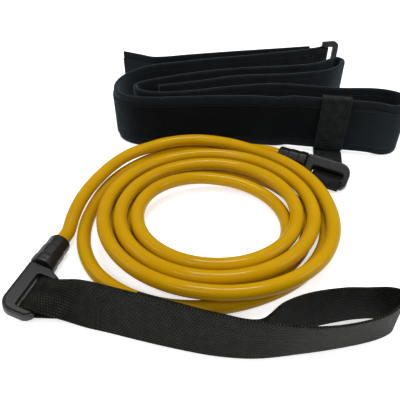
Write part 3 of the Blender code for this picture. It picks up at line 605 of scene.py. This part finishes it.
def smooth(obj, angle_deg):
    obj.data.shade_smooth()
    obj.data.set_sharp_from_angle(angle=math.radians(angle_deg))
    return obj


def bridge(bm, first, second):
    """Faces between two closed rings of as many points."""
    for k in range(len(first)):
        after = (k + 1) % len(first)
        bm.faces.new((first[k], first[after], second[after], second[k]))


def strip_section(width, thickness, columns, rim_steps, groove):
    """(up, out, is_rim) round a flat strip with rounded rims; groove is (heights, depth, reach)."""
    half = thickness / 2
    reach = min(half, width / 4)
    heights = [reach + (width - 2 * reach) * index / columns for index in range(columns + 1)]
    lines, depth, spread = groove
    heights += [line + shift * spread for line in lines for shift in (-1.0, -0.5, 0.0, 0.5, 1.0)]
    heights.sort()

    def dip(height):
        return sum(depth * smooth_step(1 - abs(height - line) / spread) for line in lines)

    def rim(middle, side):
        angles = [math.pi * index / rim_steps for index in range(1, rim_steps)]
        return [(middle + side * reach * math.sin(angle), side * half * math.cos(angle), True)
                for angle in angles]

    front = [(height, half - dip(height), False) for height in heights]
    back = [(height, -half + dip(height), False) for height in reversed(heights)]
    return front + rim(width - reach, 1) + back + rim(reach, -1)


def strip(name, lower, upper, thickness, materials, columns, rim_steps,
          groove=((), 0, 1), ripple=0.0):
    """A thick strip between two edge lines, with millimetres along and across as its map."""
    bm = bmesh.new()
    layer = bm.loops.layers.uv.new("strip")
    rim_slot = len(materials) - 1

    def add_face(corners, slot):
        face = bm.faces.new([vert for vert, uv, is_rim in corners])
        face.material_index = slot
        for loop, corner in zip(face.loops, corners):
            loop[layer].uv = corner[1]

    along = 0.0
    rows = []
    for index in range(len(lower)):
        before, after = max(0, index - 1), min(len(lower) - 1, index + 1)
        run = (lower[after] + upper[after] - lower[before] - upper[before]).normalized()
        across = upper[index] - lower[index]
        width = across.length
        across.normalize()
        side = run.cross(across).normalized()
        if index:
            step = lower[index] + upper[index] - lower[index - 1] - upper[index - 1]
            along += step.length / 2
        row = []
        for up, out, is_rim in strip_section(width, thickness, columns, rim_steps, groove):
            point = lower[index] + across * up + side * out
            if ripple:
                point += side * ripple * noise.noise(Vector((along * 40, up * 60, 0.0)))
            row.append((bm.verts.new(point), (along / MM, up / MM), is_rim))
        rows.append(row)
    for first, second in zip(rows, rows[1:]):
        for index in range(len(first)):
            after = (index + 1) % len(first)
            on_rim = first[index][2] or first[after][2]
            add_face((first[index], second[index], second[after], first[after]),
                     rim_slot if on_rim else 0)
    add_face(rows[0], rim_slot)
    add_face(rows[-1][::-1], rim_slot)
    return smooth(object_from(name, bm, *materials), 60)


def sew(name, stitches, material, body, *nodes):
    """Separate stitches, each a short rounded thread between two points lying on a face."""
    bm = bmesh.new()
    angles = [2 * math.pi * k / THREAD_SIDES for k in range(THREAD_SIDES)]
    for start, end, out in stitches:
        run = end - start
        side = run.cross(out).normalized() * THREAD_DIAMETER / 2
        rise = out.normalized() * THREAD_DIAMETER / 2
        rings = []
        for share, fat in THREAD_PROFILE:
            middle = start + run * share + rise * (math.sin(math.pi * share) * THREAD_ARCH)
            rings.append([bm.verts.new(middle + (side * math.cos(a) + rise * math.sin(a)) * fat)
                          for a in angles])
        for first, second in zip(rings, rings[1:]):
            bridge(bm, first, second)
        bm.faces.new(rings[0][::-1])
        bm.faces.new(rings[-1])
    settle(smooth(object_from(name, bm, material), 80), body, "thread", *nodes)


def seam(points, ways, pitch, length):
    """Stitches of one seam along a line of points; ways say where the face looks."""
    stitches = []
    along = 0.0
    following = pitch / 2
    for start, end, out in zip(points, points[1:], ways[1:]):
        span = (end - start).length
        while following <= along + span:
            middle = start.lerp(end, (following - along) / span)
            run = (end - start).normalized() * length / 2
            stitches.append((middle - run, middle + run, out))
            following += pitch
        along += span
    return stitches


def seam_rows(edges, heights, out, face, thickness, kind, spans):
    """Seams at some heights of a strip, on its left (1) or right (-1) face, over some spans."""
    pitch, length, sink = kind
    ways = [way * face for way in out]
    stitches = []
    for height in heights:
        line = [point + way * (thickness / 2 - sink)
                for point, way in zip(line_at(*edges, height), ways)]
        for first, last in spans:
            stitches += seam(line[first:last + 1], ways[first:last + 1], pitch, length)
    return stitches


def zigzag(low, high, out, count):
    """A bar of close zigzag stitches between two lines of two points."""
    stitches = []
    for index in range(count):
        bottom = low[0].lerp(low[1], index / count)
        top = high[0].lerp(high[1], (index + 0.5) / count)
        back = low[0].lerp(low[1], (index + 1) / count)
        stitches += [(bottom, top, out), (top, back, out)]
    return stitches


# Camera, light and floor

def make_camera():
    data = bpy.data.cameras.new("camera")
    configure(data, sensor_width=SENSOR, lens=LENS, clip_start=0.01)
    camera = new_object("camera", data)
    camera.location = (-PLAN_MIDDLE.x, -PLAN_MIDDLE.y, CAMERA_HEIGHT)
    camera.rotation_euler = (math.radians(CAMERA_TILT_DEG), 0.0, 0.0)
    bpy.context.scene.camera = camera


def make_lamp(name, place, target, size, power):
    data = bpy.data.lights.new(name, "AREA")
    configure(data, shape="RECTANGLE", size=size[0], size_y=size[1], energy=power)
    lamp = new_object(name, data)
    lamp.location = place
    lamp.rotation_mode = "QUATERNION"
    lamp.rotation_quaternion = (Vector(target) - Vector(place)).to_track_quat("-Z", "Y")


def make_studio():
    for lamp in LAMPS:
        make_lamp(*lamp)
    world = bpy.data.worlds.new("studio")
    bpy.context.scene.world = world
    tree = Tree(world)
    tree.nodes.clear()
    light = tree.add("Background", {"Color": WHITE, "Strength": WORLD_STRENGTH})
    shown = tree.add("Background", {"Color": WHITE})
    mix = tree.add("MixShader", {0: tree.rays("Is Camera Ray", "Is Transmission Ray"),
                                 1: light.outputs[0], 2: shown.outputs[0]})
    tree.add("OutputWorld", {"Surface": mix.outputs[0]})
    bpy.context.scene.view_settings.view_transform = "Standard"


def make_floor():
    look = Look("floor_white", 0.9, 0.1)
    lift = look.times(look.rays("Is Camera Ray", "Is Glossy Ray"), FLOOR_LIFT)
    material = look.paint({
        "Base Color": FLOOR_GREY, "Emission Color": WHITE, "Emission Strength": lift,
    })
    bm = bmesh.new()
    bmesh.ops.create_grid(bm, x_segments=8, y_segments=8, size=3.0)
    object_from("floor", bm, material)


# Elastic tube

def coil_point(turn):
    share, start, end = turn / COIL_TURNS_IN, COIL_OUTSIDE, COIL_INSIDE
    if share > 1:
        share, start, end = (turn - COIL_TURNS_IN) / COIL_TURNS_OUT, COIL_INSIDE, COIL_ON_TOP
    radius, middle_y, oval = (a + (b - a) * share for a, b in zip(start, end))
    for extra, peak, before, after in LOOSE_STRETCHES:
        reach = before if turn < peak else after
        radius += extra * smooth_step(1 - abs(turn - peak) / reach)
    angle = math.radians(COIL_START_DEG) + 2 * math.pi * turn
    rise = COIL_RISE * smooth_step((turn - COIL_TURNS_IN) / CLIMB_TURNS + 0.5)
    return Vector((COIL_X + radius * oval * math.cos(angle), middle_y + radius * math.sin(angle),
                   TUBE_OD / 2 + rise))


def coil_centreline():
    turns = COIL_TURNS_IN + COIL_TURNS_OUT
    count = round(turns * POINTS_PER_TURN)
    step = turns / count
    points = [coil_point(step * index) for index in range(count + 1)]
    first = (coil_point(-step) - points[1]).normalized()
    last = (coil_point(turns + step) - points[-2]).normalized()
    return [points[0] + first * JOIN_RUN] + points + [points[-1] + last * JOIN_RUN]


def lead_route(socket_frame, via, coil_end, before_end):
    run = (coil_end - before_end).normalized()
    inside = [socket_frame @ Vector((0, 0, depth - SOCKET_LENGTH))
              for depth in (BORE_DEPTH, 0, -TUBE_OD)]
    return inside + [Vector(p) * MM for p in via] + [coil_end + run * (JOIN_RUN + TOUCH)]


def make_tube(front_frame, rear_frame, material):
    coil = coil_centreline()
    front = lead_route(front_frame, FRONT_VIA, coil[-1], coil[-2])
    rear = lead_route(rear_frame, REAR_VIA, coil[0], coil[1])
    points = smooth_lines(TUBE_STEP, front + coil[::-1] + rear[::-1])[0]
    curve = bpy.data.curves.new("elastic_tube", "CURVE")
    configure(curve, dimensions="3D", bevel_depth=TUBE_OD / 2, bevel_resolution=9,
              use_fill_caps=True)
    curve.materials.append(material)
    spline = curve.splines.new("POLY")
    spline.points.add(len(points) - 1)
    for point, place in zip(spline.points, points):
        point.co = (*place, 1.0)
    spline.use_smooth = True
    tube = new_object("elastic_tube", curve)
    settle(tube, "tubing", "tube", "tube_coil", "front_lead", "rear_lead")


# Connectors

def faceted_ring(bm, frame_at, radius, height, facet):
    """One ring of points round the axis, between a circle (facet 0) and an octagon (facet 1)."""
    wedge = 2 * math.pi / SOCKET_FACETS
    ring = []
    for k in range(SOCKET_POINTS):
        angle = 2 * math.pi * k / SOCKET_POINTS
        turned = (angle + wedge / 2) % wedge - wedge / 2
        flat = math.cos(wedge / 2) / math.cos(turned)
        reach = radius * (1 - facet + facet * min(1.0, flat * 1.012))
        place = Vector((reach * math.cos(angle), reach * math.sin(angle), height))
        ring.append(bm.verts.new(frame_at @ place))
    return ring


def socket_profile():
    """Radius, height and facet of each ring: from the pin's hole over the outside to the bore."""
    hole, mouth = PIN_RADIUS + TOUCH, -SOCKET_LENGTH
    first = mouth + SOCKET_SECTION
    second = mouth + 2 * SOCKET_SECTION
    one, two = SOCKET_RADIUS - SOCKET_STEP, SOCKET_RADIUS - 2 * SOCKET_STEP
    return [
        (hole, 0.0, 0.0), (SOCKET_RADIUS - 1.0 * MM, 0.0, 0.3),
        (SOCKET_RADIUS - 0.3 * MM, -0.25 * MM, 0.6), (SOCKET_RADIUS, -0.9 * MM, 0.8),
        (SOCKET_RADIUS, second + 0.8 * MM, 0.85),
        (SOCKET_RADIUS - SOCKET_LIP, second + 0.3 * MM, 0.85),
        (one, second, 0.85), (one, second - 0.4 * MM, 0.85),
        (one, first + 0.8 * MM, 0.9), (one - SOCKET_LIP, first + 0.3 * MM, 0.9),
        (two, first, 0.9), (two, first - 0.4 * MM, 0.9),
        (two, mouth + 1.3 * MM, 0.85), (two - 0.25 * MM, mouth + 0.5 * MM, 0.6),
        (two - 0.7 * MM, mouth + 0.1 * MM, 0.3), (two - 0.9 * MM, mouth, 0.1),
        (SOCKET_BORE_RADIUS + 0.2 * MM, mouth, 0.0), (SOCKET_BORE_RADIUS, mouth + 0.25 * MM, 0.0),
        (SOCKET_BORE_RADIUS, mouth + BORE_DEPTH, 0.0), (hole, mouth + BORE_DEPTH, 0.0),
    ]


def make_socket(name, frame_at, node, material):
    bm = bmesh.new()
    rings = [faceted_ring(bm, frame_at, *row) for row in socket_profile()]
    for ring, following in zip(rings, rings[1:] + rings[:1]):
        bridge(bm, ring, following)
    for side in (-1, 1):
        add_boss(bm, frame_at, side)
    obj = smooth(object_from(name, bm, material), 32)
    configure(obj.modifiers.new("edges", "BEVEL"), width=SOCKET_BEVEL, segments=2,
              limit_method="ANGLE", angle_limit=math.radians(40))
    settle(obj, "tubing", "plastic", node)


def add_boss(bm, frame_at, side):
    """The curved ledge over the pin's seat: a low pad with two small lugs."""
    out = SOCKET_RADIUS * math.cos(math.pi / SOCKET_FACETS) - BOSS_SINK
    for low, high in BOSS_BLOCKS:
        for vert in bmesh.ops.create_cube(bm, size=1.0)["verts"]:
            place = [low[i] + (high[i] - low[i]) * (vert.co[i] + 0.5) for i in range(3)]
            inset = BOSS_INSET if vert.co[1] > 0 else 0.0
            x = math.copysign(max(0.0, abs(place[0]) - inset), place[0])
            z = place[2] + (inset if vert.co[2] < 0 else -inset)
            vert.co = frame_at @ Vector((x * MM, side * (out + place[1] * MM), z * MM))


def ring_outline(inset):
    start = RUNNING
    end = RUNNING + RING_LENGTH - inset
    low, high = RING_LOW + inset, RING_HIGH - inset
    neck = SOCKET_RADIUS - NECK_INSET - inset
    shoulder = start + NECK_TAPER
    corner, free_corner = RING_CORNER - inset, RING_FREE_CORNER - inset
    points = [(-neck, start), (neck, start), (high, shoulder)]
    points += arc((high - corner, end - corner), corner, 0, 90, 12)
    points += arc((low + free_corner, end - free_corner), free_corner, 90, 180, 12)
    points.append((low, shoulder))
    return points


def prism(name, outline, depth):
    """A closed flat outline, as thick as depth, half on each side of its plane."""
    bm = bmesh.new()
    low, high = [[bm.verts.new((x, y, z)) for x, y in outline] for z in (-depth / 2, depth / 2)]
    bm.faces.new(low[::-1])
    bm.faces.new(high)
    bridge(bm, low, high)
    return object_from(name, bm)


def rod(name, radius, x, start, end):
    """A rod along Z at one x, between two heights."""
    bm = bmesh.new()
    bmesh.ops.create_cone(bm, cap_ends=True, segments=40, radius1=radius, radius2=radius,
                          depth=end - start, matrix=Matrix.Translation((x, 0, (start + end) / 2)))
    return object_from(name, bm)


def combine(base, *steps):
    """Apply booleans of other objects to a base, and remove those objects."""
    for operation, other in steps:
        configure(base.modifiers.new(other.name, "BOOLEAN"), operation=operation,
                  solver="EXACT", object=other)
    apply_modifiers(base)
    for operation, other in steps:
        bpy.data.objects.remove(other, do_unlink=True)


def apply_modifiers(obj):
    bpy.context.view_layer.update()
    graph = bpy.context.evaluated_depsgraph_get()
    mesh = bpy.data.meshes.new_from_object(obj.evaluated_get(graph))
    obj.modifiers.clear()
    obj.data = mesh


def moulded(obj, frame_at, material):
    """Round every edge a little, as a moulded part has them, and put the part in its place."""
    configure(obj.modifiers.new("remesh", "REMESH"), mode="VOXEL", voxel_size=MOULD_VOXEL)
    configure(obj.modifiers.new("relax", "SMOOTH"), factor=0.5, iterations=MOULD_ROUNDS)
    apply_modifiers(obj)
    obj.data.shade_smooth()
    obj.data.transform(frame_at)
    dress(obj.data, material)


def rounded_slot(low, high, corner):
    left, bottom = [place + corner for place in low]
    right, top = [place - corner for place in high]
    points = []
    for index, centre in enumerate(((right, top), (left, top), (left, bottom), (right, bottom))):
        points += arc(centre, corner, 90 * index, 90 * index + 90, 8)
    return points


def make_ring(name, frame_at, node, material):
    ring = prism(name, ring_outline(0.0), RING_RIM_DEPTH)
    face = prism(name + "_face", ring_outline(RING_RIM), RING_DEPTH)
    low = (RING_LOW + FREE_BAR_WIDTH, SLOT_START)
    high = (RING_HIGH + RING_CORNER, SLOT_END)
    slot = prism(name + "_slot", rounded_slot(low, high, SLOT_CORNER), 3 * RING_DEPTH)
    wide = rounded_slot([c - LEAD_IN for c in low], [c + LEAD_IN for c in high], LEAD_IN_CORNER)
    lead_in = prism(name + "_lead_in", wide, LEAD_IN_DEPTH)
    lead_in.data.transform(Matrix.Translation((0, 0, RING_DEPTH / 2)))
    combine(ring, ("UNION", face), ("DIFFERENCE", slot), ("DIFFERENCE", lead_in))
    ring.data.transform(rotation(90, "X"))
    bar = rod(name + "_bar", WRAPPED_BAR_DIAMETER / 2, BAR_OFFSET,
              SLOT_START - BAR_SEAT, SLOT_END + BAR_SEAT)
    hole = rod(name + "_hole", PIN_RADIUS + TOUCH / 2, 0.0, -RUNNING, RUNNING + PIN_HOLE_DEPTH)
    combine(ring, ("UNION", bar), ("DIFFERENCE", hole))
    moulded(ring, frame_at, material)
    settle(ring, node, "plastic", node)


# Belt

def lift_on_slider(x):
    reach = SLIDER_WEBBING_WIDTH / 2 + SLIDER_LIFT_REACH
    beyond = abs(x - SLIDER_PLACE[0]) - reach
    return SLIDER_LIFT * (1 - smooth_step(beyond / SLIDER_LIFT_RAMP))


def make_belt(knit, rim, pile, thread):
    middle = smooth_lines(FINE_STEP, plan(BELT_ROUTE))[0]
    lower, upper = standing(middle, 0.0, BELT_HEIGHT)
    for low, high in zip(lower, upper):
        if low.y < FRONT_RUN_Y:
            low.z += lift_on_slider(low.x)
            high.z += lift_on_slider(high.x)
    belt = strip("belt_cloth", lower, upper, BELT_THICKNESS, (knit, rim), 14, 8,
                 groove=(SEAM_HEIGHTS, 0.22 * MM, 1.0 * MM), ripple=0.25 * MM)
    settle(belt, "belt", "belt", "waist_belt")
    start = min(range(len(middle)), key=lambda i: (middle[i] - plan([PILE_START])[0]).length)
    end = next(i for i in range(start, len(middle)) if middle[i].x > FRONT_RUN_END_X)
    outer = beside(middle, -(BELT_THICKNESS / 2 + TOUCH + PATCH_THICKNESS / 2))
    low, high = [[Vector((outer[i].x, outer[i].y, edge[i].z + margin))
                  for i in range(start, end + 1)]
                 for edge, margin in ((lower, PILE_MARGIN), (upper, -PILE_MARGIN))]
    tape = strip("pile_tape", low, high, PATCH_THICKNESS, (pile,), 12, 5,
                 groove=(PILE_SEAM_HEIGHTS, 0.25 * MM, 0.7 * MM))
    settle(tape, "belt", "pile", "pile_strip")
    out = sideways(middle)
    last = len(middle) - 1
    stitches = []
    for face, spans in ((-1, [(0, start), (end, last)]), (1, [(0, last)])):
        stitches += seam_rows((lower, upper), SEAM_HEIGHTS, out, face, BELT_THICKNESS,
                              CLOTH_SEAM, spans)
    stitches += seam_rows((low, high), PILE_SEAM_HEIGHTS, out[start:end + 1], -1, PATCH_THICKNESS,
                          PILE_SEAM, [(0, end - start)])
    sew("belt_seams", stitches, thread, "belt")


def make_flap(knit, rim, hooks, thread):
    middle = smooth_lines(FINE_STEP, plan(FLAP_ROUTE))[0]
    lower, upper = standing(middle, 0.0, BELT_HEIGHT)
    flap = strip("flap_cloth", lower, upper, FLAP_THICKNESS, (knit, rim), 14, 8,
                 groove=(SEAM_HEIGHTS, 0.2 * MM, 1.0 * MM), ripple=0.15 * MM)
    settle(flap, "belt", "belt", "belt_flap")
    inner = beside(middle, FLAP_THICKNESS / 2 + TOUCH + PATCH_THICKNESS / 2)
    near = [p for p in inner if (p - inner[-1]).length < HOOK_LENGTH]
    patch = strip("hook_tape", *standing(near, *SEAM_HEIGHTS), PATCH_THICKNESS, (hooks,), 12, 5)
    settle(patch, "belt", "pile", "hook_patch")
    stitches = seam_rows((lower, upper), SEAM_HEIGHTS, sideways(middle), -1, FLAP_THICKNESS,
                         CLOTH_SEAM, [(0, len(middle) - 1)])
    sew("flap_seams", stitches, thread, "belt")


def make_end_ring(frame_at, plastic):
    slot_top = END_RING_BAR + END_RING_SLOT_HEIGHT
    height = slot_top + END_RING_BAR
    inner = END_RING_BAR / 2
    slot_end = inner + END_RING_SLOT_WIDTH
    right, left = slot_end + END_RING_BAR - END_RING_CORNER, END_RING_BAR_CORNER - inner
    outline = arc((right, END_RING_CORNER), END_RING_CORNER, -90, 0, 12)
    outline += arc((right, height - END_RING_CORNER), END_RING_CORNER, 0, 90, 12)
    outline += arc((left, height - END_RING_BAR_CORNER), END_RING_BAR_CORNER, 90, 180, 6)
    outline += arc((left, END_RING_BAR_CORNER), END_RING_BAR_CORNER, 180, 270, 6)
    ring = prism("end_ring", outline, END_RING_DEPTH)
    hole = rounded_slot((-3 * END_RING_BAR, END_RING_BAR), (slot_end, slot_top), SLOT_CORNER)
    combine(ring, ("DIFFERENCE", prism("end_ring_hole", hole, 3 * END_RING_BAR)))
    ring.data.transform(rotation(90, "X"))
    bar = rod("end_ring_rod", inner, 0.0, END_RING_BAR - END_RING_BAR_SEAT,
              slot_top + END_RING_BAR_SEAT)
    combine(ring, ("UNION", bar))
    moulded(ring, frame_at, plastic)
    settle(ring, "belt_end_ring", "plastic", "belt_end_ring")


def make_tab(frame_at, webbing, thread):
    bottom = END_RING_BAR + RUNNING
    radius = END_RING_BAR / 2 + RUNNING + WEBBING_THICKNESS / 2
    pinch = WEBBING_THICKNESS / 2 + TOUCH / 2
    legs_from = -TAB_LENGTH - radius
    legs_to = legs_from + TAB_SEWN
    outline = [(legs_from, pinch), (legs_to, pinch)]
    outline += arc((0.0, 0.0), radius, TAB_TURN_DEG, -TAB_TURN_DEG, 30)
    outline += [(legs_to, -pinch), (legs_from, -pinch)]
    route = smooth_lines(TAB_STEP, [frame_at @ Vector((x, y, 0.0)) for x, y in outline])[0]
    tab = strip("ring_tab", *standing(route, bottom, bottom + TAB_WIDTH), WEBBING_THICKNESS,
                (webbing,), 10, 6)
    settle(tab, "belt", "webbing", "end_ring_tab")
    tack_y = -pinch - WEBBING_THICKNESS / 2 - TACK_PROUD / 2
    out = frame_at.to_3x3() @ Vector((0, -1, 0))
    stitches = []
    for column in range(2):
        left = legs_from + TAB_TACK_START + column * TACK_PITCH
        low, high = [[frame_at @ Vector((x, tack_y, z))
                      for z in (bottom + TACK_MARGIN, bottom + TAB_WIDTH - TACK_MARGIN)]
                     for x in (left, left + TACK_ROW)]
        stitches += zigzag(low, high, out, TAB_TACK_STITCHES)
    sew("tab_stitching", stitches, thread, "belt", "end_ring_tab_tack")


# Slider webbing

def slider_section():
    half = WEBBING_THICKNESS / 2
    floor = ON_FLOOR + half
    front = BELT_THICKNESS / 2 + TOUCH + PATCH_THICKNESS + SOFT_GAP + half
    back = -BELT_THICKNESS / 2 - SOFT_GAP - half
    top = BELT_HEIGHT + SLIDER_LIFT + SOFT_GAP + half
    edge = SLIDER_EDGE
    section = [(front, floor + 2 * WEBBING_THICKNESS + 2 * TOUCH)]
    section += [(front, floor + (top - edge - floor) * share) for share in (0.25, 0.5, 0.75)]
    section += arc((front - edge, top - edge), edge, 0, 90, 8)
    section += arc((back + edge, top - edge), edge, 90, 180, 8)
    section += [(back, floor + (top - edge - floor) * share) for share in (0.75, 0.5, 0.25)]
    section += arc((back + edge, floor + edge), edge, 180, 270, 8)
    section.append((front + SLIDER_RUN_OUT, floor))
    return section, front, floor


def make_slider(rear_frame, webbing, thread):
    along_belt = Vector((math.cos(BELT_SLOPE), math.sin(BELT_SLOPE), 0.0))
    to_ring = Vector((math.sin(BELT_SLOPE), -math.cos(BELT_SLOPE), 0.0))
    place = Vector((*SLIDER_PLACE, 0.0))
    section, front, floor = slider_section()
    at_belt = [place + to_ring * out + UP * height for out, height in section]
    bar = rear_frame @ Vector((BAR_OFFSET, 0.0, SLOT_MIDDLE))
    bar_along = (rear_frame.to_3x3() @ UP).normalized()
    away = bar_along.cross(UP)
    wrap = [bar - away * SLIDER_LEAD_IN - UP * WRAP_RADIUS]
    wrap += [bar + away * x + UP * z for x, z in arc((0.0, 0.0), WRAP_RADIUS, -90, 90, 16)]
    wrap += [bar.xy.to_3d() - away * (x * MM) + UP * (z * MM) for x, z in SLIDER_UPPER_RUN]
    over = floor + WEBBING_THICKNESS + TOUCH
    under_belt = [place + to_ring * (front + x * MM) + UP * over for x in SLIDER_UNDER_RUN]
    middle = at_belt + wrap + under_belt
    across = [along_belt] * len(at_belt) + [bar_along] * len(wrap) + [along_belt] * len(under_belt)
    half_width = SLIDER_WEBBING_WIDTH / 2
    edges = smooth_lines(SLIDER_STEP, [p - run * half_width for p, run in zip(middle, across)],
                         [p + run * half_width for p, run in zip(middle, across)])
    piece = strip("slider_strap", *edges, WEBBING_THICKNESS, (webbing,), 14, 6)
    settle(piece, "slider", "webbing", "slider_webbing")
    outer = front + WEBBING_THICKNESS / 2 + TACK_PROUD
    reach = along_belt * (half_width - TACK_MARGIN)
    stitches = []
    for row in range(2):
        start = place + to_ring * outer + UP * (SLIDER_TACK_HEIGHT + row * SLIDER_TACK_PITCH)
        low = [start - reach, start + reach]
        stitches += zigzag(low, [point + UP * TACK_ROW for point in low], to_ring, TACK_STITCHES)
    sew("slider_stitching", stitches, thread, "slider", "slider_bar_tack")


# Hand strap

def strap_edges(rows):
    """Both edges, at each point of a run that stands on the floor: place, and lean of the top."""
    edges = []
    for (x, y), lean in rows:
        low = Vector((x * MM, y * MM, WEBBING_THICKNESS / 2))
        lean_x, lean_y = lean[0] * MM, lean[1] * MM
        rise = math.sqrt(HAND_WEBBING_WIDTH ** 2 - lean_x ** 2 - lean_y ** 2)
        edges.append((low, low + Vector((lean_x, lean_y, rise))))
    return edges


def strap_runs(wrap):
    """Both edges of the whole loop: under the ring's bar, round it, and out and back."""
    under, lying = [[(Vector(low) * MM, Vector(high) * MM) for low, high in run]
                    for run in (STRAP_UNDER, STRAP_LYING)]
    front = strap_edges(STRAP_FRONT)
    behind = Vector(STRAP_BACK_WAY).normalized() * (WEBBING_THICKNESS + SOFT_GAP)
    back = [(low + behind, high + behind - STRAP_BACK_DROP)
            for (low, high), ((x, y), lean) in zip(front, STRAP_FRONT) if x < STRAP_BACK_END_X]
    return zip(*under, *wrap, *lying, *front, *strap_edges(STRAP_FOLD), *reversed(back))


def make_hand_strap(front_frame, webbing, thread):
    bar_low = front_frame @ Vector((BAR_OFFSET, 0.0, SLOT_END - SOFT_GAP))
    bar_high = front_frame @ Vector((BAR_OFFSET, 0.0, SLOT_START + SOFT_GAP))
    along = (bar_high - bar_low).normalized()
    out = along.cross(UP).normalized()
    up = out.cross(along).normalized()
    wrap = []
    for x, z in arc((0.0, 0.0), WRAP_RADIUS, *STRAP_WRAP_DEG, STRAP_WRAP_STEPS):
        around = out * min(x, x * STRAP_WRAP_OVAL) + up * z
        wrap.append((bar_low + around, bar_high + around))
    lower, upper = smooth_lines(STRAP_STEP, *strap_runs(wrap))
    piece = strip("hand_loop", lower, upper, WEBBING_THICKNESS, (webbing,), 16, 6)
    settle(piece, "hand_strap", "webbing", "hand_strap")
    stitches = []
    for column in range(2):
        place = STRAP_TACK_X + column * TACK_PITCH
        end = next(i for i in range(1, len(lower)) if lower[i - 1].x < place <= lower[i].x)
        outward = (lower[end] - upper[end - 1]).cross(upper[end] - lower[end - 1]).normalized()
        proud = outward * (WEBBING_THICKNESS / 2 + TACK_PROUD)
        rise = (upper[end] - lower[end]).normalized() * TACK_MARGIN
        run = (lower[end] - lower[end - 1]).normalized() * TACK_ROW
        low = [lower[end] + rise + proud, upper[end] - rise + proud]
        stitches += zigzag(low, [point + run for point in low], outward, TACK_STITCHES)
    sew("hand_stitching", stitches, thread, "hand_strap", "hand_strap_tack")


def finish_solids(latex, plastic):
    """Materials of the solids that stay: they sit inside the sockets."""
    for name, material in (("tube_end", latex), ("tube_plug", plastic), ("swivel_pin", plastic)):
        for side in ("front_", "rear_"):
            dress(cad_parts[side + name].data, material)


def build():
    make_camera()
    make_studio()
    make_floor()
    latex, plastic = latex_material(), plastic_material()
    knit, rim = knit_material(), rim_foam_and_highlight_material()
    coarse = webbing_material("black_webbing", 1.7, (0.0016, 0.0018, 0.0014),
                              (0.052, 0.055, 0.040), 0.02)
    fine = webbing_material("fine_webbing", 1.6, (0.0012, 0.0016, 0.0017),
                            (0.060, 0.067, 0.070), 0.03)
    thread = thread_material("seam_thread", (0.012, 0.0135, 0.014), (0.036, 0.040, 0.041))
    dark_thread = thread_material("tack_thread", (0.003, 0.0034, 0.0032), (0.012, 0.013, 0.0115))
    front_frame = heading_matrix(FRONT_JOINT, FRONT_HEADING_DEG, FRONT_ROLL_DEG)
    rear_frame = heading_matrix(REAR_JOINT, REAR_HEADING_DEG, REAR_ROLL_DEG)
    tab_frame = Matrix.Translation((*END_RING_PLACE, 0.0)) @ rotation(TAB_HEADING_DEG, "Z")
    make_tube(front_frame, rear_frame, latex)
    make_socket("front_cup", front_frame, "front_socket", plastic)
    make_socket("rear_cup", rear_frame, "rear_socket", plastic)
    make_ring("front_loop", front_frame, "front_ring", plastic)
    make_ring("rear_loop", rear_frame, "rear_ring", plastic)
    make_belt(knit, rim, pile_material(), thread)
    make_flap(knit, rim, hook_material(), thread)
    make_end_ring(tab_frame, plastic)
    make_tab(tab_frame, fine, dark_thread)
    make_slider(rear_frame, fine, dark_thread)
    make_hand_strap(front_frame, coarse, dark_thread)
    finish_solids(latex, plastic)


build()
